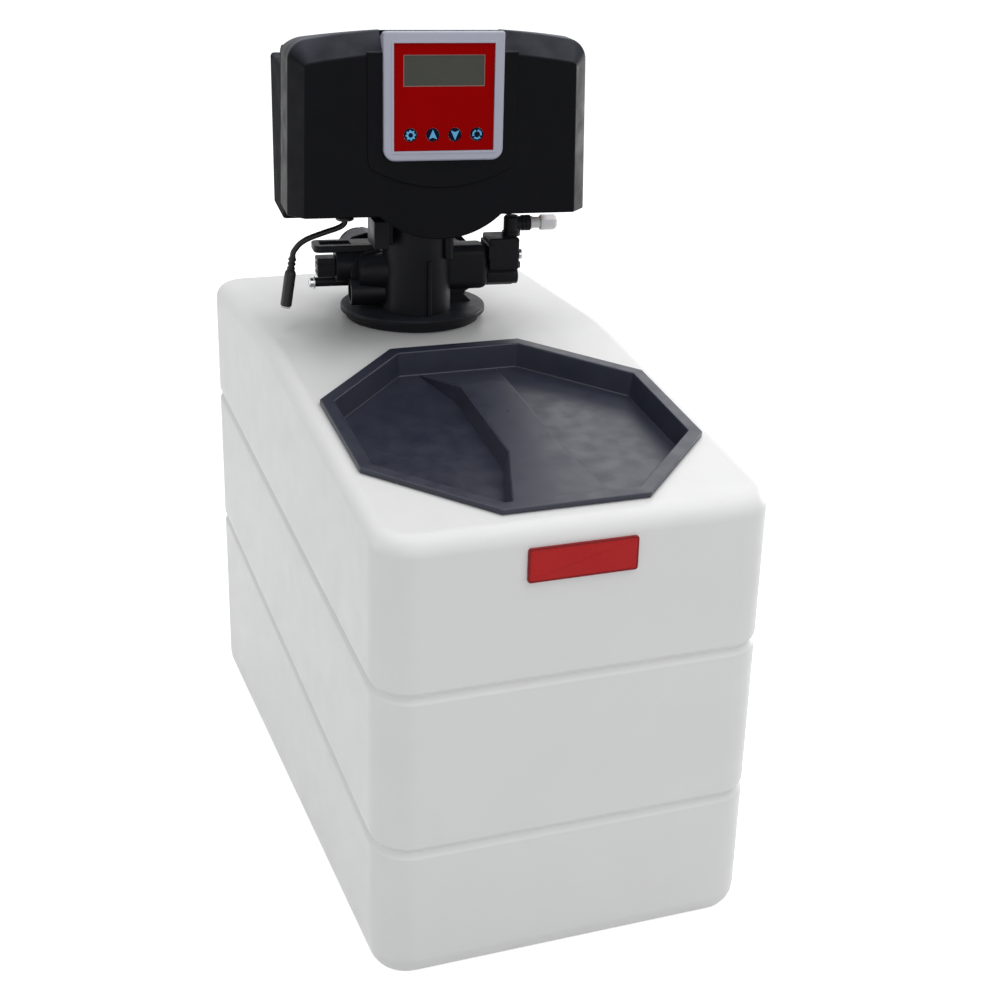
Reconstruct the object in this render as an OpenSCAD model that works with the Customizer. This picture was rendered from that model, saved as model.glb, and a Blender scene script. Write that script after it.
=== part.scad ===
// Compact cabinet water softener: salt cabinet, resin tank, control valve and powered head.
// Millimetres, +Z up. Origin: middle of the cabinet's underside. Front faces -Y.

/* [Cabinet] */
// Width of the cabinet, side to side
cabinet_w = 206; // [180:1:260]
// Depth of the cabinet, front to back
cabinet_d = 380; // [340:1:460]
// Height of the level rear deck
cabinet_h = 274; // [250:1:340]
// Depth of the level deck, from the back to the bend
deck_d = 159; // [140:1:180]
// Fall of the front part of the top, degrees
top_slope = 8; // [4:0.5:10]
// Wall of the moulded shell
wall = 5; // [4:0.5:6]
// Radius of the upright corners, seen from above
corner_r = 20; // [14:1:28]
// Radius of the top edges
top_edge_r = 9; // [5:0.5:10]
// Radius of the bottom edges
bottom_edge_r = 14; // [8:1:18]
// Height of the upper groove on the front
groove_upper_z = 162; // [150:1:175]
// Height of the lower groove on the front
groove_lower_z = 76; // [60:1:90]
// Height of a groove
groove_h = 6.5; // [4:0.5:8]
// Depth of a groove
groove_depth = 2.5; // [1:0.1:3]
// Rise of the grooves toward the back, degrees
groove_slope = 6.2; // [3:0.1:7]

/* [Salt lid] */
// Least distance of the lid from the cabinet's sides
lid_side = 10.5; // [10:0.5:20]
// Distance of the lid from the front's top edge, down the slope
lid_front = 14.17; // [12:0.01:24]
// Least distance of the lid from the bend, down the slope
lid_back = 24; // [20:0.5:40]
// Width of the flat rim
rim_w = 7; // [6:0.5:10]
// Thickness of the rim
rim_t = 3; // [2:0.2:5]
// Depth of the tray below the rim's top
tray_depth = 14; // [10:0.5:20]
// Wall of the tray
tray_wall = 2; // [1.6:0.1:3]
// Gap between the tray and the mouth, each side
mouth_gap = 1.3; // [0.6:0.1:2]
// Width of the grip bar at its middle
grip_w = 28; // [20:1:36]

/* [Badge] */
// Width of the badge
badge_w = 56.6; // [40:0.1:80]
// Height of the badge
badge_h = 17.5; // [10:0.1:18]
// Thickness of the badge
badge_t = 1.6; // [0.6:0.1:3]
// Distance of the badge's middle below the front's top edge
badge_drop = 18.54; // [17:0.01:32]

/* [Tank] */
// Tank axis, to the right of the middle
tank_x = -5; // [-10:0.5:10]
// Tank axis, behind the middle
tank_y = 70; // [66:0.5:80]
// Radius of the resin tank
tank_r = 76; // [60:1:78]
// Wall of the resin tank
tank_wall = 3; // [2:0.1:4]
// Radius of the tank's rounded ends
tank_end_r = 34; // [20:1:38]
// Distance of the tank's rounded top below the deck
tank_drop = 24; // [22:1:44]
// Outer radius of the tank's neck
neck_r = 36.5; // [34:0.1:37]
// Bore radius of the tank's neck
neck_bore_r = 31.4; // [29:0.1:32]
// Outer radius of the riser tube
riser_r = 13.35; // [10:0.05:14]
// Height of the resin's surface
resin_top_z = 186; // [120:1:210]

/* [Valve] */
// Turn of the valve and head about the tank axis, degrees
valve_turn = 7; // [0:0.5:15]
// Radius of the flange's upper rim
flange_r = 42.9; // [40:0.1:48]
// Radius of the flange's lower rim
flange_low_r = 39.3; // [38:0.1:42]
// Height of the flange
flange_h = 7.7; // [6:0.1:10]
// Radius of the upright piston housing
housing_r = 20; // [18:0.1:23]
// Distance of the piston axis in front of the tank axis
housing_fwd = 12; // [8:0.5:14]
// Height of the piston housing above the deck
housing_h = 64; // [60:0.5:72]
// Radius of the piston bore
bore_r = 14; // [12:0.1:15]
// Radius of the piston
piston_r = 9; // [7:0.1:9.4]
// Length of the piston
piston_l = 26; // [20:0.5:27]
// Radius of the piston rod
rod_r = 2.5; // [2:0.1:3]
// Height of the rear ports above the deck
port_z = 28; // [26:0.5:32]
// Distance of each rear port from the valve's middle
port_x = 24; // [22:0.5:28]
// Thread radius of the rear spigots, three-quarter inch
thread_r = 13.2; // [10:0.1:13.3]
// Bore radius of the rear spigots
spigot_bore_r = 9.5; // [7:0.1:10]

/* [Control head] */
// Distance of the front face from the tank axis
head_fwd = 84; // [82:0.5:92]
// Depth of the front cover
cover_d = 41; // [36:0.5:46]
// Half width of the front cover
cover_hw = 81.5; // [80:0.5:90]
// How much narrower the cover is at each shoulder
cover_taper = 2; // [0:0.5:4]
// Bottom of the front cover above the deck
cover_low = 77.5; // [76:0.5:80]
// Top of the front cover above the deck, at its middle
cover_top = 174; // [170:0.5:180]
// Wall of the covers
cover_wall = 2.5; // [2:0.1:3]
// Width of the slanted side bands
band_w = 8; // [5:0.5:12]
// Depth and height of the slanted bands
band_d = 10; // [6:0.5:12]
// Half width of the back case
case_hw = 78; // [76:0.5:78.5]
// Height of the back case
case_h = 86; // [80:0.5:90]
// Distance of the back case's rear face behind the tank axis
case_back = 26; // [20:0.5:28]

/* [Display] */
// Half width of the bezel
bezel_hw = 31.9; // [31:0.1:36]
// Height of the bezel
bezel_h = 66; // [65:0.5:68]
// How far the bezel stands out of the cover
bezel_proud = 4; // [3.5:0.1:6]
// Half width of the overlay panel
panel_hw = 26.5; // [25:0.1:28]
// Height of the overlay panel
panel_h = 54.7; // [50:0.1:56]
// Half width of the screen
screen_hw = 21.5; // [18:0.1:23]
// Height of the screen
screen_h = 16; // [12:0.1:18]
// Radius of a key
key_r = 3.3; // [2.5:0.1:3.6]
// Spacing of the keys
key_pitch = 11.8; // [11:0.1:12.5]
// Travel of a key
key_travel = 0.5; // [0.3:0.1:0.6]

/* [Drive] */
// Tooth module of the drive gears
gear_module = 1; // [0.8:0.05:1.05]
// Teeth of the drive gear
gear_teeth = 48; // [40:4:48]
// Teeth of the motor pinion
pinion_teeth = 12; // [10:1:14]
// Radius of the motor
motor_r = 16; // [12:0.5:17]
// Height of the motor
motor_h = 28; // [20:0.5:34]

/* [Brine side] */
// Radius of the brine well
well_r = 25; // [20:0.5:26]
// Height of the brine well
well_h = 214; // [190:1:218]
// Radius of the float
float_r = 15; // [10:0.5:16]
// Height of the float
float_h = 40; // [25:1:50]
// Bore radius of the brine tube fitting
brine_bore_r = 2.4; // [1.5:0.1:2.6]
// Bore radius of the drain nut
drain_bore_r = 2.5; // [1.5:0.1:3]
// Radius of the overflow barb
barb_r = 6.5; // [5:0.1:8]

/* [Power lead] */
// Radius of the lead
lead_r = 1.6; // [1:0.1:2]
// Radius of the jack's barrel
jack_r = 3.25; // [2.8:0.05:4]
// Length of the jack's barrel
jack_l = 21; // [15:0.5:30]

/* [Hidden] */
$fn = 64;

// Clearances: pieces that are fixed, pieces that run on a shaft, pieces that move clear
fit = 0.1;
run = 0.05;
clear = 0.3;
// Amount by which a cut runs past the face it opens
past = 1;

// Cabinet
bend_y = cabinet_d / 2 - deck_d;
front_y = -cabinet_d / 2;
back_y = cabinet_d / 2;
front_h = cabinet_h - (cabinet_d - deck_d) * tan(top_slope);
inner_bend_y = bend_y + wall * tan(top_slope / 2);
inner_front_h = front_h - wall / cos(top_slope) + wall * tan(top_slope);
inner_hw = cabinet_w / 2 - wall;
inner_edge_r = bottom_edge_r - wall - 1;
// The moulded wall thins out in the upright corners
inner_corner_r = max(corner_r - wall - 4.5, 5);
groove_corner_r = max(corner_r - groove_depth - 3.5, 5);
slope_l = (cabinet_d - deck_d) / cos(top_slope);
lid_af = min(cabinet_w - 2 * lid_side, slope_l - lid_front - lid_back);
lid_drop = slope_l - lid_front - lid_af / 2;
neck_hole_r = neck_r + 1;
mouth_af = lid_af - 2 * rim_w + 2 * tray_wall + 2 * mouth_gap;
tray_af = lid_af - 2 * rim_w + 2 * tray_wall;
tray_floor = clear + rim_t - tray_depth;
badge_x = -2.3;
badge_z = front_h - badge_drop;
badge_corner_r = 1.5;

// Grip bar of the lid: its shift to the right, straight lengths and flares
grip_x = 2;
grip_back_l = 48;
grip_front_l = 64;
grip_fall_l = 46;
grip_dip_l = 60;
grip_dip = 1;
grip_back_flare = 13;
grip_front_flare = 20;
grip_right_flare = 8;

// Overflow fitting on the back of the cabinet
overflow_in = 41;
overflow_below = 60;
overflow_x = cabinet_w / 2 - overflow_in;
overflow_z = cabinet_h - overflow_below;
overflow_r = 8;
overflow_flange_r = 13;
overflow_flange_t = 3;
overflow_nut_t = 6;
overflow_out = 14;
overflow_drop = 24;
overflow_thread = 4;
barb_pitch = 5;
barb_rise = 0.9;
barb_wall = 2;

// Brine well and float
well_side = 10;
well_x = inner_hw - well_side - well_r;
well_y = -14;
well_wall = 2.2;
well_cap_t = 4;
well_cap_lip = 1;
well_cap_in = 6;
well_slot_r = 3;
well_slot_low = 10;
well_slot_pitch = 12;
check_r = 12;
check_h = 30;
pickup_r = 3.5;
pickup_x = -11;
float_x = 4;
float_rod_r = 1.6;
float_valve_drop = 51;
float_below = 72;
float_valve_z = wall + well_h - float_valve_drop;
float_z = float_valve_z - float_below;
float_valve_h = 30;
float_valve_r = 10;
outlet_r = 3.2;
outlet_out = 10;
guide_w = 8;
guide_t = 6;
rod_end = 12;
stop_out = 1.4;
stop_t = 3;
stop_z = float_valve_z + guide_t + clear;
check_slot_h = 2;
check_slot_pitch = 6;
pickup_wall = 1.2;

// Tank
boot_t = 7;
boot_r = tank_r - 5;
boot_rim_w = 4;
boot_rim_h = 10;
tank_low_z = wall + boot_t;
tank_top_z = cabinet_h - tank_drop;
tank_in_low_z = tank_low_z + tank_wall;
riser_wall = 2.35;
basket_r = 26;
basket_h = 33;
basket_slot_h = 1.2;
basket_slot_n = 6;
basket_wall = 4;
basket_seat = 4;
bed_gap = 0.5;
spigot_l = 12;
spigot_r = neck_bore_r - 0.2;
top_basket_r = 28;
top_basket_h = 12;
top_basket_rim = 3;
top_slot_pitch = 2.6;
ring_r = 1.5;
ring_groove = 2 * ring_r + 0.2;

// Valve heights above the floor
deck_z = cabinet_h;
flange_top = deck_z + flange_h;
flange_step = deck_z + flange_h * 0.52;
housing_top = deck_z + housing_h;
spigot_low = deck_z - spigot_l;
riser_top = deck_z + 12;
riser_bore_r = riser_r + 0.15;
riser_bore_top = riser_top + 1;
neck_ring_z = deck_z - 4.4;
riser_ring_z = deck_z + 6.6;
bore_low = riser_bore_top + 4;
housing_y = -housing_fwd;

// Piston stack
plug_l = 4.5;
cap_t = 4;
cap_r = 18;
cage_in_r = piston_r + 0.4;
cage_low = bore_low + fit;
cage_top = housing_top - plug_l - fit;
seal_n = 5;
seal_r = 1.3;
seal_pitch = 8;
seal_first = cage_low + 5.5;
seal_mid_r = piston_r + run + seal_r;
window_r = 2.4;
piston_low = bore_low + 1;
piston_top = piston_low + piston_l;
waist_z = [piston_l / 4, piston_l * 0.6];
waist_h = 5;
waist_d = 2.5;
rod_reach = 34;
rod_top = housing_top + rod_reach;

// Rear ports, along +Y from the tank axis
port_level = deck_z + port_z;
boss_r = thread_r + 0.9;
boss_start = -8;
boss_end = 34;
passage_r = 5;
passage_y = 5;
bridge_y = [-4, 14];
bridge_half = 10;
web_out = 8;
web_drop = 8;
web_y = [0, 16];
boss_bore_r = spigot_bore_r + 0.5;
collar_t = 3;
collar_r = boss_r - fit;
spigot_end = 58;
ridge_h = 0.4;
ridge_pitch = 3.5;
nut_lip = 3;
nut_wall = 3.2;
nut_start = 22;
nut_end = boss_end + collar_t + nut_lip;
turbine_y = 13;
turbine_l = 7;
turbine_r = spigot_bore_r - 0.6;
turbine_pin_r = 1;
blade_n = 6;
blade_t = 1.1;
hub_r = 2.6;
cage_ring_t = 1.2;
cage_arm_w = 1.6;
cage_y = [turbine_y - 2 - cage_arm_w, turbine_y + turbine_l + 2];

// Right side of the valve: injector block, brine elbow and drain nut
arm_y0 = -20;
arm_y1 = 0;
arm_x0 = 14;
arm_x1 = 42;
arm_z0 = deck_z + 19;
arm_z1 = deck_z + 45;
drain_z = deck_z + 24.6;
drain_y = -10;
drain_af = 9.5;
drain_x1 = 61;
drain_nose = 2;
drain_step = 0.5;
injector_x1 = 60;
injector_z0 = deck_z + 30.5;
injector_z1 = deck_z + 49;
injector_z = deck_z + 39;
injector_bore_r = 3.6;
foot_out = 1.5;
foot_h = 4;
nozzle_r = 1.1;
throat_r = 1.5;
nozzle_l = 6;
throat_l = 7;
inj_screw_r = 1.6;
inj_screw_in = 3.4;
inj_screw_l = 8;
inj_head_r = 2.9;
inj_head_t = 2.2;
inj_key_af = 2.5;
inj_key_d = 1.2;
elbow_x = 57;
elbow_z = deck_z + 56;
elbow_r = 4.6;
elbow_x1 = 68;
elbow_neck_r = elbow_r - 0.6;
elbow_bore_r = brine_bore_r - 0.6;
elbow_foot_h = 2.4;
elbow_mouth = 5;
nut_shelf = 3;
tube_body_r = 3.3;
tube_body_x1 = 74;
tube_nut_r = 4.1;
tube_nut_x1 = 84;

// Left side of the valve: plugged port, clip and screw
left_y = 2;
left_z = deck_z + 31;
left_r = 9.5;
left_end = -46;
plug_r = 5.9;
plug_head_x = -57;
plug_head_w = 12;
plug_head_h = 11;
plug_reach = 10;
clip_x0 = -59;
clip_x1 = -23;
clip_w = 18;
clip_t = 4;
clip_edge = 4;
clip_dish = 1.5;
clip_dish_gap = 14;
stud_y = 6;
stud_z = deck_z + 20.5;
stud_r = 2.8;
stud_end = -57.5;
clip_screw_r = 1.4;
washer_r = 4;
washer_t = 0.8;
clip_head_r = 3.1;
clip_head_t = 2.6;
clip_key_af = 2.6;
clip_key_d = 1.4;
socket_y = -10;
socket_z = deck_z + 17.8;
socket_r = 7.6;
socket_bore_r = 5.2;
socket_end = -39;
socket_depth = 15;
left_root = -10;
clip_screw_l = 12;
cone_x = -34;
cone_z = deck_z + 30;
cone_r = [9, 12];
cone_l = 22;
lug_x = [-28.3, -19.8];
lug_y = [-34, -10];
lug_web_y = [-24, -12];
lug_z = deck_z + 48;

// Front rib, upright post and side gusset of the valve
rib_x = 3;
rib_t = 2;
rib_z = deck_z + 40;
upright_x = 16;
upright_fwd = 14;
upright_r = 3;
gusset_t = 3;
gusset_z = deck_z + 26;

// Head, front faces -Y
cover_front = -head_fwd;
cover_rear = -head_fwd + cover_d;
plate_t = 3;
plate_rear = cover_rear + plate_t;
cover_low_z = deck_z + cover_low;
cover_top_z = deck_z + cover_top;
crown_r = 420;
drop_r = 48.4;
drop_z = cover_low_z + 35.5;
cover_corner_r = 3;
shoulder_r = 11;
face_top_z = cover_top_z - band_d - 1;
roof_slope = 0.4;
roof_rear_z = cover_top_z - roof_slope * (cover_d - band_d);
pad_hw = 40;
pad_z = cover_low_z + 13.5;
pad_foot_r = 75;
pad_corner_r = 18;
pad_t = 0.8;
case_low_z = housing_top;
case_top_z = case_low_z + case_h;
case_wall = 2.5;
cover_screw_x = 60;
cover_screw_z = cover_top_z - 20;
cover_screw_r = 1.4;
cover_screw_l = 14;
screw_head_r = 2.8;
screw_head_t = 2;
cover_boss_r = 3.6;
cover_boss_l = 18;

// Display
bezel_low = cover_top_z - bezel_h - 0.5;
bezel_top = bezel_low + bezel_h;
bezel_front = cover_front - bezel_proud;
bezel_rear = cover_front + 14;
bezel_side = 2.5;
bezel_face = 2.5;
bezel_corner_r = 6;
bezel_top_r = 1.5;
bezel_step = 1.2;
bezel_roof = 9.5;
panel_low = bezel_low + 5.3;
panel_top = panel_low + panel_h;
panel_front = bezel_front + 0.7;
panel_t = 1;
screen_top = panel_top - 5.8;
screen_low = screen_top - screen_h;
screen_front = bezel_front + 1;
key_z = panel_low + 8.2;
key_front = bezel_front + 0.4;
key_back = bezel_front + 4.1;
key_flange_t = 1.3;
key_flange_r = key_r + 1;
board_front = bezel_front + 8.4;
board_t = 1.6;
switch_w = 6;
switch_front = key_back + key_travel + clear;

// Drive train inside the head
gear_r = gear_module * gear_teeth / 2;
pinion_r = gear_module * pinion_teeth / 2;
tooth_h = 0.5 * gear_module;
drive_gap = gear_r + pinion_r + 0.25 * gear_module;
drive_low = housing_top + 12;
gear_t = 8;
hub_out_r = 6;
bracket_low = housing_top + 24;
bracket_t = 3;
post_r = 3;
motor_x = drive_gap;
motor_cap_t = 3;
shaft_r = 1.5;
shaft_in = 5;
pinion_t = 11;
bracket_x0 = -30;
bracket_x1 = motor_x + motor_r + 6;
bracket_y0 = housing_y - 22;
bracket_y1 = housing_y + 22;

// Power lead, in the valve's own frame: route chosen by hand from the gland to the jack
gland_x = -43;
gland_y = -20;
gland_r = 5.2;
gland_t = 1.5;
gland_stem_r = 3.6;
gland_out = 2;
lead_route = [[-43, -20, 336.4], [-43, -20, 335.2], [-43.8, -20, 334], [-45.2, -20, 333],
    [-47, -20, 332.2], [-49.2, -20, 331.4], [-51.6, -20, 330.7], [-54.2, -20, 329.9],
    [-57, -20, 329], [-60, -20, 328], [-63, -20, 326.9], [-66, -20, 325.5],
    [-68.8, -20, 323.6], [-71, -20, 321.2], [-72.69, -20, 318.58], [-73, -20, 316.6]];
lead_sides = 8;
jack_lean = 9;
relief_l = 8;
relief_r = 2.3;
relief_groove = 0.5;
relief_pitch = 2.6;
tip_ring_r = 2.7;
tip_bore_r = 1.3;
tip_depth = 7;
tip_out = 0.6;

// Frames

// Turned frame of the valve and head: tank axis upright, X right, Y to the back
module at_valve() {
    translate([tank_x, tank_y, 0])
        rotate([0, 0, -valve_turn])
            children();
}

// Frame of the lid: on the sloping top, Z out of the slope
module at_lid() {
    translate([0, bend_y, cabinet_h])
        rotate([top_slope, 0, 0])
            translate([0, -lid_drop, 0])
                children();
}

// Frame of the piston axis
module at_housing() {
    at_valve()
        translate([0, housing_y, 0])
            children();
}

// Shared shapes

// Upright cylinder between two heights
module rod_z(r, z0, z1) {
    translate([0, 0, z0])
        cylinder(r = r, h = z1 - z0);
}

// Level cylinder along X
module rod_x(r, x0, x1, y, z) {
    translate([x0, y, z])
        rotate([0, 90, 0])
            cylinder(r = r, h = x1 - x0);
}

// Level cylinder along Y
module rod_y(r, y0, y1, x, z) {
    translate([x, y0, z])
        rotate([-90, 0, 0])
            cylinder(r = r, h = y1 - y0);
}

// Upright tube between two heights
module tube_z(r_out, r_in, z0, z1) {
    difference() {
        rod_z(r_out, z0, z1);
        rod_z(r_in, z0 - past, z1 + past);
    }
}

// Round seal ring lying flat
module seal_ring(mid_r, section_r, z) {
    translate([0, 0, z])
        rotate_extrude()
            translate([mid_r, 0])
                circle(r = section_r, $fn = 32);
}

// Block between two corners
module block(low, high) {
    translate(low)
        cube(high - low);
}

// Octagonal prism with flats square to X and Y
module octagon(af, z0, z1) {
    translate([0, 0, z0])
        rotate([0, 0, 22.5])
            cylinder(r = af / 2 / cos(22.5), h = z1 - z0, $fn = 8);
}

// Hexagonal prism along X
module hex_x(af, x0, x1, y, z) {
    translate([x0, y, z])
        rotate([0, 90, 0])
            cylinder(r = af / 2 / cos(30), h = x1 - x0, $fn = 6);
}

// Unit vector of a flat vector
function unit(v) = v / norm(v);

// Distance from a corner to where its rounding starts
function corner_cut(a, b, c, r) =
    let (half = acos(unit(a - b) * unit(c - b)) / 2)
    r / tan(half);

// Middle of the rounding of a corner
function corner_mid(a, b, c, r) =
    let (half = acos(unit(a - b) * unit(c - b)) / 2)
    b + unit(unit(a - b) + unit(c - b)) * r / sin(half);

// Convex outline with a true arc at every corner that has a radius
module rounded_outline(points, radii) {
    n = len(points);
    polygon([for (i = [0 : n - 1])
        let (a = points[(i + n - 1) % n], b = points[i], c = points[(i + 1) % n], r = radii[i])
        each r > 0
            ? [b + unit(a - b) * corner_cut(a, b, c, r), b + unit(c - b) * corner_cut(a, b, c, r)]
            : [b]]);
    for (i = [0 : n - 1])
        if (radii[i] > 0)
            translate(corner_mid(points[(i + n - 1) % n], points[i], points[(i + 1) % n], radii[i]))
                circle(r = radii[i]);
}

// Rectangle about the middle with equal round corners
module rounded_rect(w, h, r) {
    rounded_outline([[-w / 2, -h / 2], [w / 2, -h / 2], [w / 2, h / 2], [-w / 2, h / 2]], [r, r, r, r]);
}

// Outline given in X and Z, drawn out along Y between two places
module draw_y(y0, y1) {
    translate([0, y1, 0])
        rotate([90, 0, 0])
            linear_extrude(y1 - y0)
                children();
}

// Outline given in Y and Z, drawn out along X about the middle
module draw_x(w) {
    rotate([90, 0, 90])
        linear_extrude(w, center = true)
            children();
}

// Cabinet and lid

// Outer form: plan, cross section, sloping top and side view, cut into one another
module cabinet_form() {
    intersection() {
        linear_extrude(cabinet_h)
            rounded_rect(cabinet_w, cabinet_d, corner_r);
        draw_y(front_y - past, back_y + past)
            rounded_outline([[-cabinet_w / 2, 0], [cabinet_w / 2, 0],
                [cabinet_w / 2, cabinet_h], [-cabinet_w / 2, cabinet_h]],
                [bottom_edge_r, bottom_edge_r, top_edge_r, top_edge_r]);
        translate([0, bend_y, cabinet_h])
            rotate([top_slope, 0, 0])
                draw_y(-2 * cabinet_d, 2 * cabinet_d)
                    rounded_outline([[-cabinet_w / 2, -3 * cabinet_h], [cabinet_w / 2, -3 * cabinet_h],
                        [cabinet_w / 2, 0], [-cabinet_w / 2, 0]], [0, 0, top_edge_r, top_edge_r]);
        draw_x(cabinet_w + 2 * past)
            rounded_outline([[front_y, 0], [back_y, 0], [back_y, cabinet_h], [bend_y, cabinet_h],
                [front_y, front_h]], [bottom_edge_r, bottom_edge_r, top_edge_r, 0, top_edge_r]);
    }
}

// Hollow of the cabinet
module cabinet_hollow() {
    intersection() {
        linear_extrude(cabinet_h)
            rounded_rect(cabinet_w - 2 * wall, cabinet_d - 2 * wall, inner_corner_r);
        draw_y(front_y, back_y)
            rounded_outline([[-inner_hw, wall], [inner_hw, wall], [inner_hw, cabinet_h],
                [-inner_hw, cabinet_h]], [inner_edge_r, inner_edge_r, 0, 0]);
        draw_x(cabinet_w)
            rounded_outline([[front_y + wall, wall], [back_y - wall, wall], [back_y - wall, cabinet_h - wall],
                [inner_bend_y, cabinet_h - wall], [front_y + wall, inner_front_h]],
                [inner_edge_r, inner_edge_r, 0, 0, 0]);
    }
}

// One groove round the cabinet, rising to the back
module groove_cut(z) {
    difference() {
        translate([0, front_y, z])
            rotate([groove_slope, 0, 0])
                translate([-cabinet_w, -cabinet_d / 4, -groove_h / 2])
                    cube([2 * cabinet_w, cabinet_d * 1.5, groove_h]);
        linear_extrude(2 * cabinet_h)
            rounded_rect(cabinet_w - 2 * groove_depth, cabinet_d - 2 * groove_depth, groove_corner_r);
    }
}

// White moulded shell with the octagonal mouth, the neck hole and the overflow hole
module cabinet() {
    color([0.93, 0.93, 0.92])
        difference() {
            cabinet_form();
            cabinet_hollow();
            groove_cut(groove_upper_z);
            groove_cut(groove_lower_z);
            at_lid()
                octagon(mouth_af, -4 * wall, wall);
            at_valve()
                rod_z(neck_hole_r, cabinet_h - 2 * wall, cabinet_h + past);
            rod_y(overflow_r + fit, back_y - 2 * wall, back_y + past, overflow_x, overflow_z);
        }
}

// Grip bar in the tray: flared at both ends, falling to the tray floor at the back
module grip_bar() {
    left = grip_x - grip_w / 2;
    right = grip_x + grip_w / 2;
    reach = lid_af / 2;
    intersection() {
        translate([0, 0, tray_floor - tray_wall / 2])
            linear_extrude(tray_depth)
                polygon([[left - grip_back_flare, reach], [left, reach - grip_back_l],
                    [left, -reach + grip_front_l], [left - grip_front_flare, -reach],
                    [right + grip_right_flare, -reach], [right, -reach + grip_front_l],
                    [right, reach - grip_back_l], [right + grip_right_flare, reach]]);
        draw_x(2 * lid_af)
            polygon([[-reach, tray_floor - tray_wall], [reach, tray_floor - tray_wall],
                [reach - rim_w, tray_floor], [reach - grip_fall_l, -clear],
                [-reach + grip_dip_l, -clear], [-reach, -clear - grip_dip]]);
        octagon(tray_af - tray_wall, tray_floor - tray_wall, rim_t);
    }
}

// Black octagonal tray lid that closes the salt mouth
module salt_lid() {
    color([0.10, 0.11, 0.15])
        at_lid() {
            difference() {
                union() {
                    octagon(lid_af, clear, clear + rim_t);
                    octagon(tray_af, tray_floor - tray_wall, clear + rim_t);
                }
                octagon(lid_af - 2 * rim_w, tray_floor, clear + rim_t + past);
            }
            grip_bar();
        }
}

// Red label on the front
module front_badge() {
    color([0.60, 0.13, 0.13])
        translate([badge_x, 0, badge_z])
            draw_y(front_y - badge_t, front_y)
                rounded_rect(badge_w, badge_h, badge_corner_r);
}

// Overflow elbow through the back wall, with its barb turned down
module overflow_elbow() {
    bend = back_y + overflow_out;
    thread_end = back_y - wall - overflow_nut_t - overflow_thread;
    color([0.85, 0.85, 0.83])
        difference() {
            union() {
                rod_y(overflow_r, thread_end, back_y, overflow_x, overflow_z);
                rod_y(overflow_flange_r, back_y, back_y + overflow_flange_t, overflow_x, overflow_z);
                rod_y(overflow_r, back_y, bend, overflow_x, overflow_z);
                translate([overflow_x, bend, overflow_z])
                    sphere(r = overflow_r);
                translate([overflow_x, bend, 0]) {
                    rod_z(barb_r - barb_rise, overflow_z - overflow_drop, overflow_z);
                    for (i = [0 : 1])
                        translate([0, 0, overflow_z - overflow_drop + barb_pitch * i]) {
                            cylinder(r1 = barb_r - barb_rise, r2 = barb_r, h = barb_pitch - 2);
                            rod_z(barb_r, barb_pitch - 2, barb_pitch - 1);
                        }
                }
            }
            rod_y(barb_r - barb_wall, thread_end - past, bend, overflow_x, overflow_z);
            translate([overflow_x, bend, 0])
                rod_z(barb_r - barb_wall, overflow_z - overflow_drop - past, overflow_z);
        }
}

// Nut that draws the overflow elbow against the back wall
module overflow_nut() {
    color([0.85, 0.85, 0.83])
        difference() {
            translate([overflow_x, back_y - wall - overflow_nut_t, overflow_z])
                rotate([-90, 0, 0])
                    cylinder(r = overflow_flange_r, h = overflow_nut_t, $fn = 6);
            rod_y(overflow_r + fit, back_y - wall - 2 * overflow_nut_t, back_y, overflow_x, overflow_z);
        }
}

// Brine well

// Upright tube with slots at its foot, standing on the cabinet floor
module brine_well() {
    color([0.88, 0.88, 0.86])
        translate([well_x, well_y, 0])
            difference() {
                tube_z(well_r, well_r - well_wall, wall, wall + well_h);
                for (i = [0 : 1])
                    rod_x(well_slot_r, -2 * well_r, 2 * well_r, 0,
                        wall + well_slot_low + well_slot_pitch * i);
                rod_x(outlet_r + fit, -2 * well_r, 0, 0, float_valve_z + float_valve_h / 2);
            }
}

// Push-on cap of the brine well
module brine_well_cap() {
    top = wall + well_h;
    color([0.14, 0.15, 0.17])
        translate([well_x, well_y, 0]) {
            rod_z(well_r + well_cap_lip, top, top + well_cap_t);
            tube_z(well_r - well_wall - fit, well_r - 2 * well_wall, top - well_cap_in, top);
        }
}

// Air check cage on the floor of the well with its pickup tube
module air_check() {
    color([0.80, 0.82, 0.84])
        translate([well_x + pickup_x, well_y, 0])
            difference() {
                union() {
                    rod_z(well_r + pickup_x - well_wall - 1, wall, wall + check_h);
                    rod_z(pickup_r, wall + check_h, float_valve_z);
                }
                rod_z(pickup_r - pickup_wall, wall + 4, float_valve_z + past);
                for (i = [0 : 3])
                    block([-check_r, -check_r, wall + check_slot_pitch * (i + 1)],
                        [-pickup_r - 2, check_r, wall + check_slot_pitch * (i + 1) + check_slot_h]);
            }
}

// Safety float valve at the top of the pickup tube, its outlet through the well's wall
module float_valve() {
    mid = float_valve_z + float_valve_h / 2;
    color([0.14, 0.15, 0.17])
        translate([well_x, well_y, 0])
            difference() {
                union() {
                    translate([pickup_x, 0, 0])
                        rod_z(float_valve_r, float_valve_z, float_valve_z + float_valve_h);
                    rod_x(outlet_r, -well_r - outlet_out, pickup_x, 0, mid);
                    block([pickup_x, -guide_w / 2, float_valve_z],
                        [float_x + guide_w - 1, guide_w / 2, float_valve_z + guide_t]);
                }
                rod_x(outlet_r - 1, -well_r - outlet_out - past, pickup_x, 0, mid);
                translate([float_x, 0, 0])
                    rod_z(float_rod_r + run, float_valve_z - past, float_valve_z + guide_t + past);
            }
}

// Rod that carries the float, with the collar that stops it in its guide
module float_rod() {
    color([0.80, 0.80, 0.78])
        translate([well_x + float_x, well_y, 0])
            union() {
                rod_z(float_rod_r, float_z - rod_end, float_valve_z + rod_end);
                rod_z(float_rod_r + stop_out, stop_z, stop_z + stop_t);
            }
}

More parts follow.
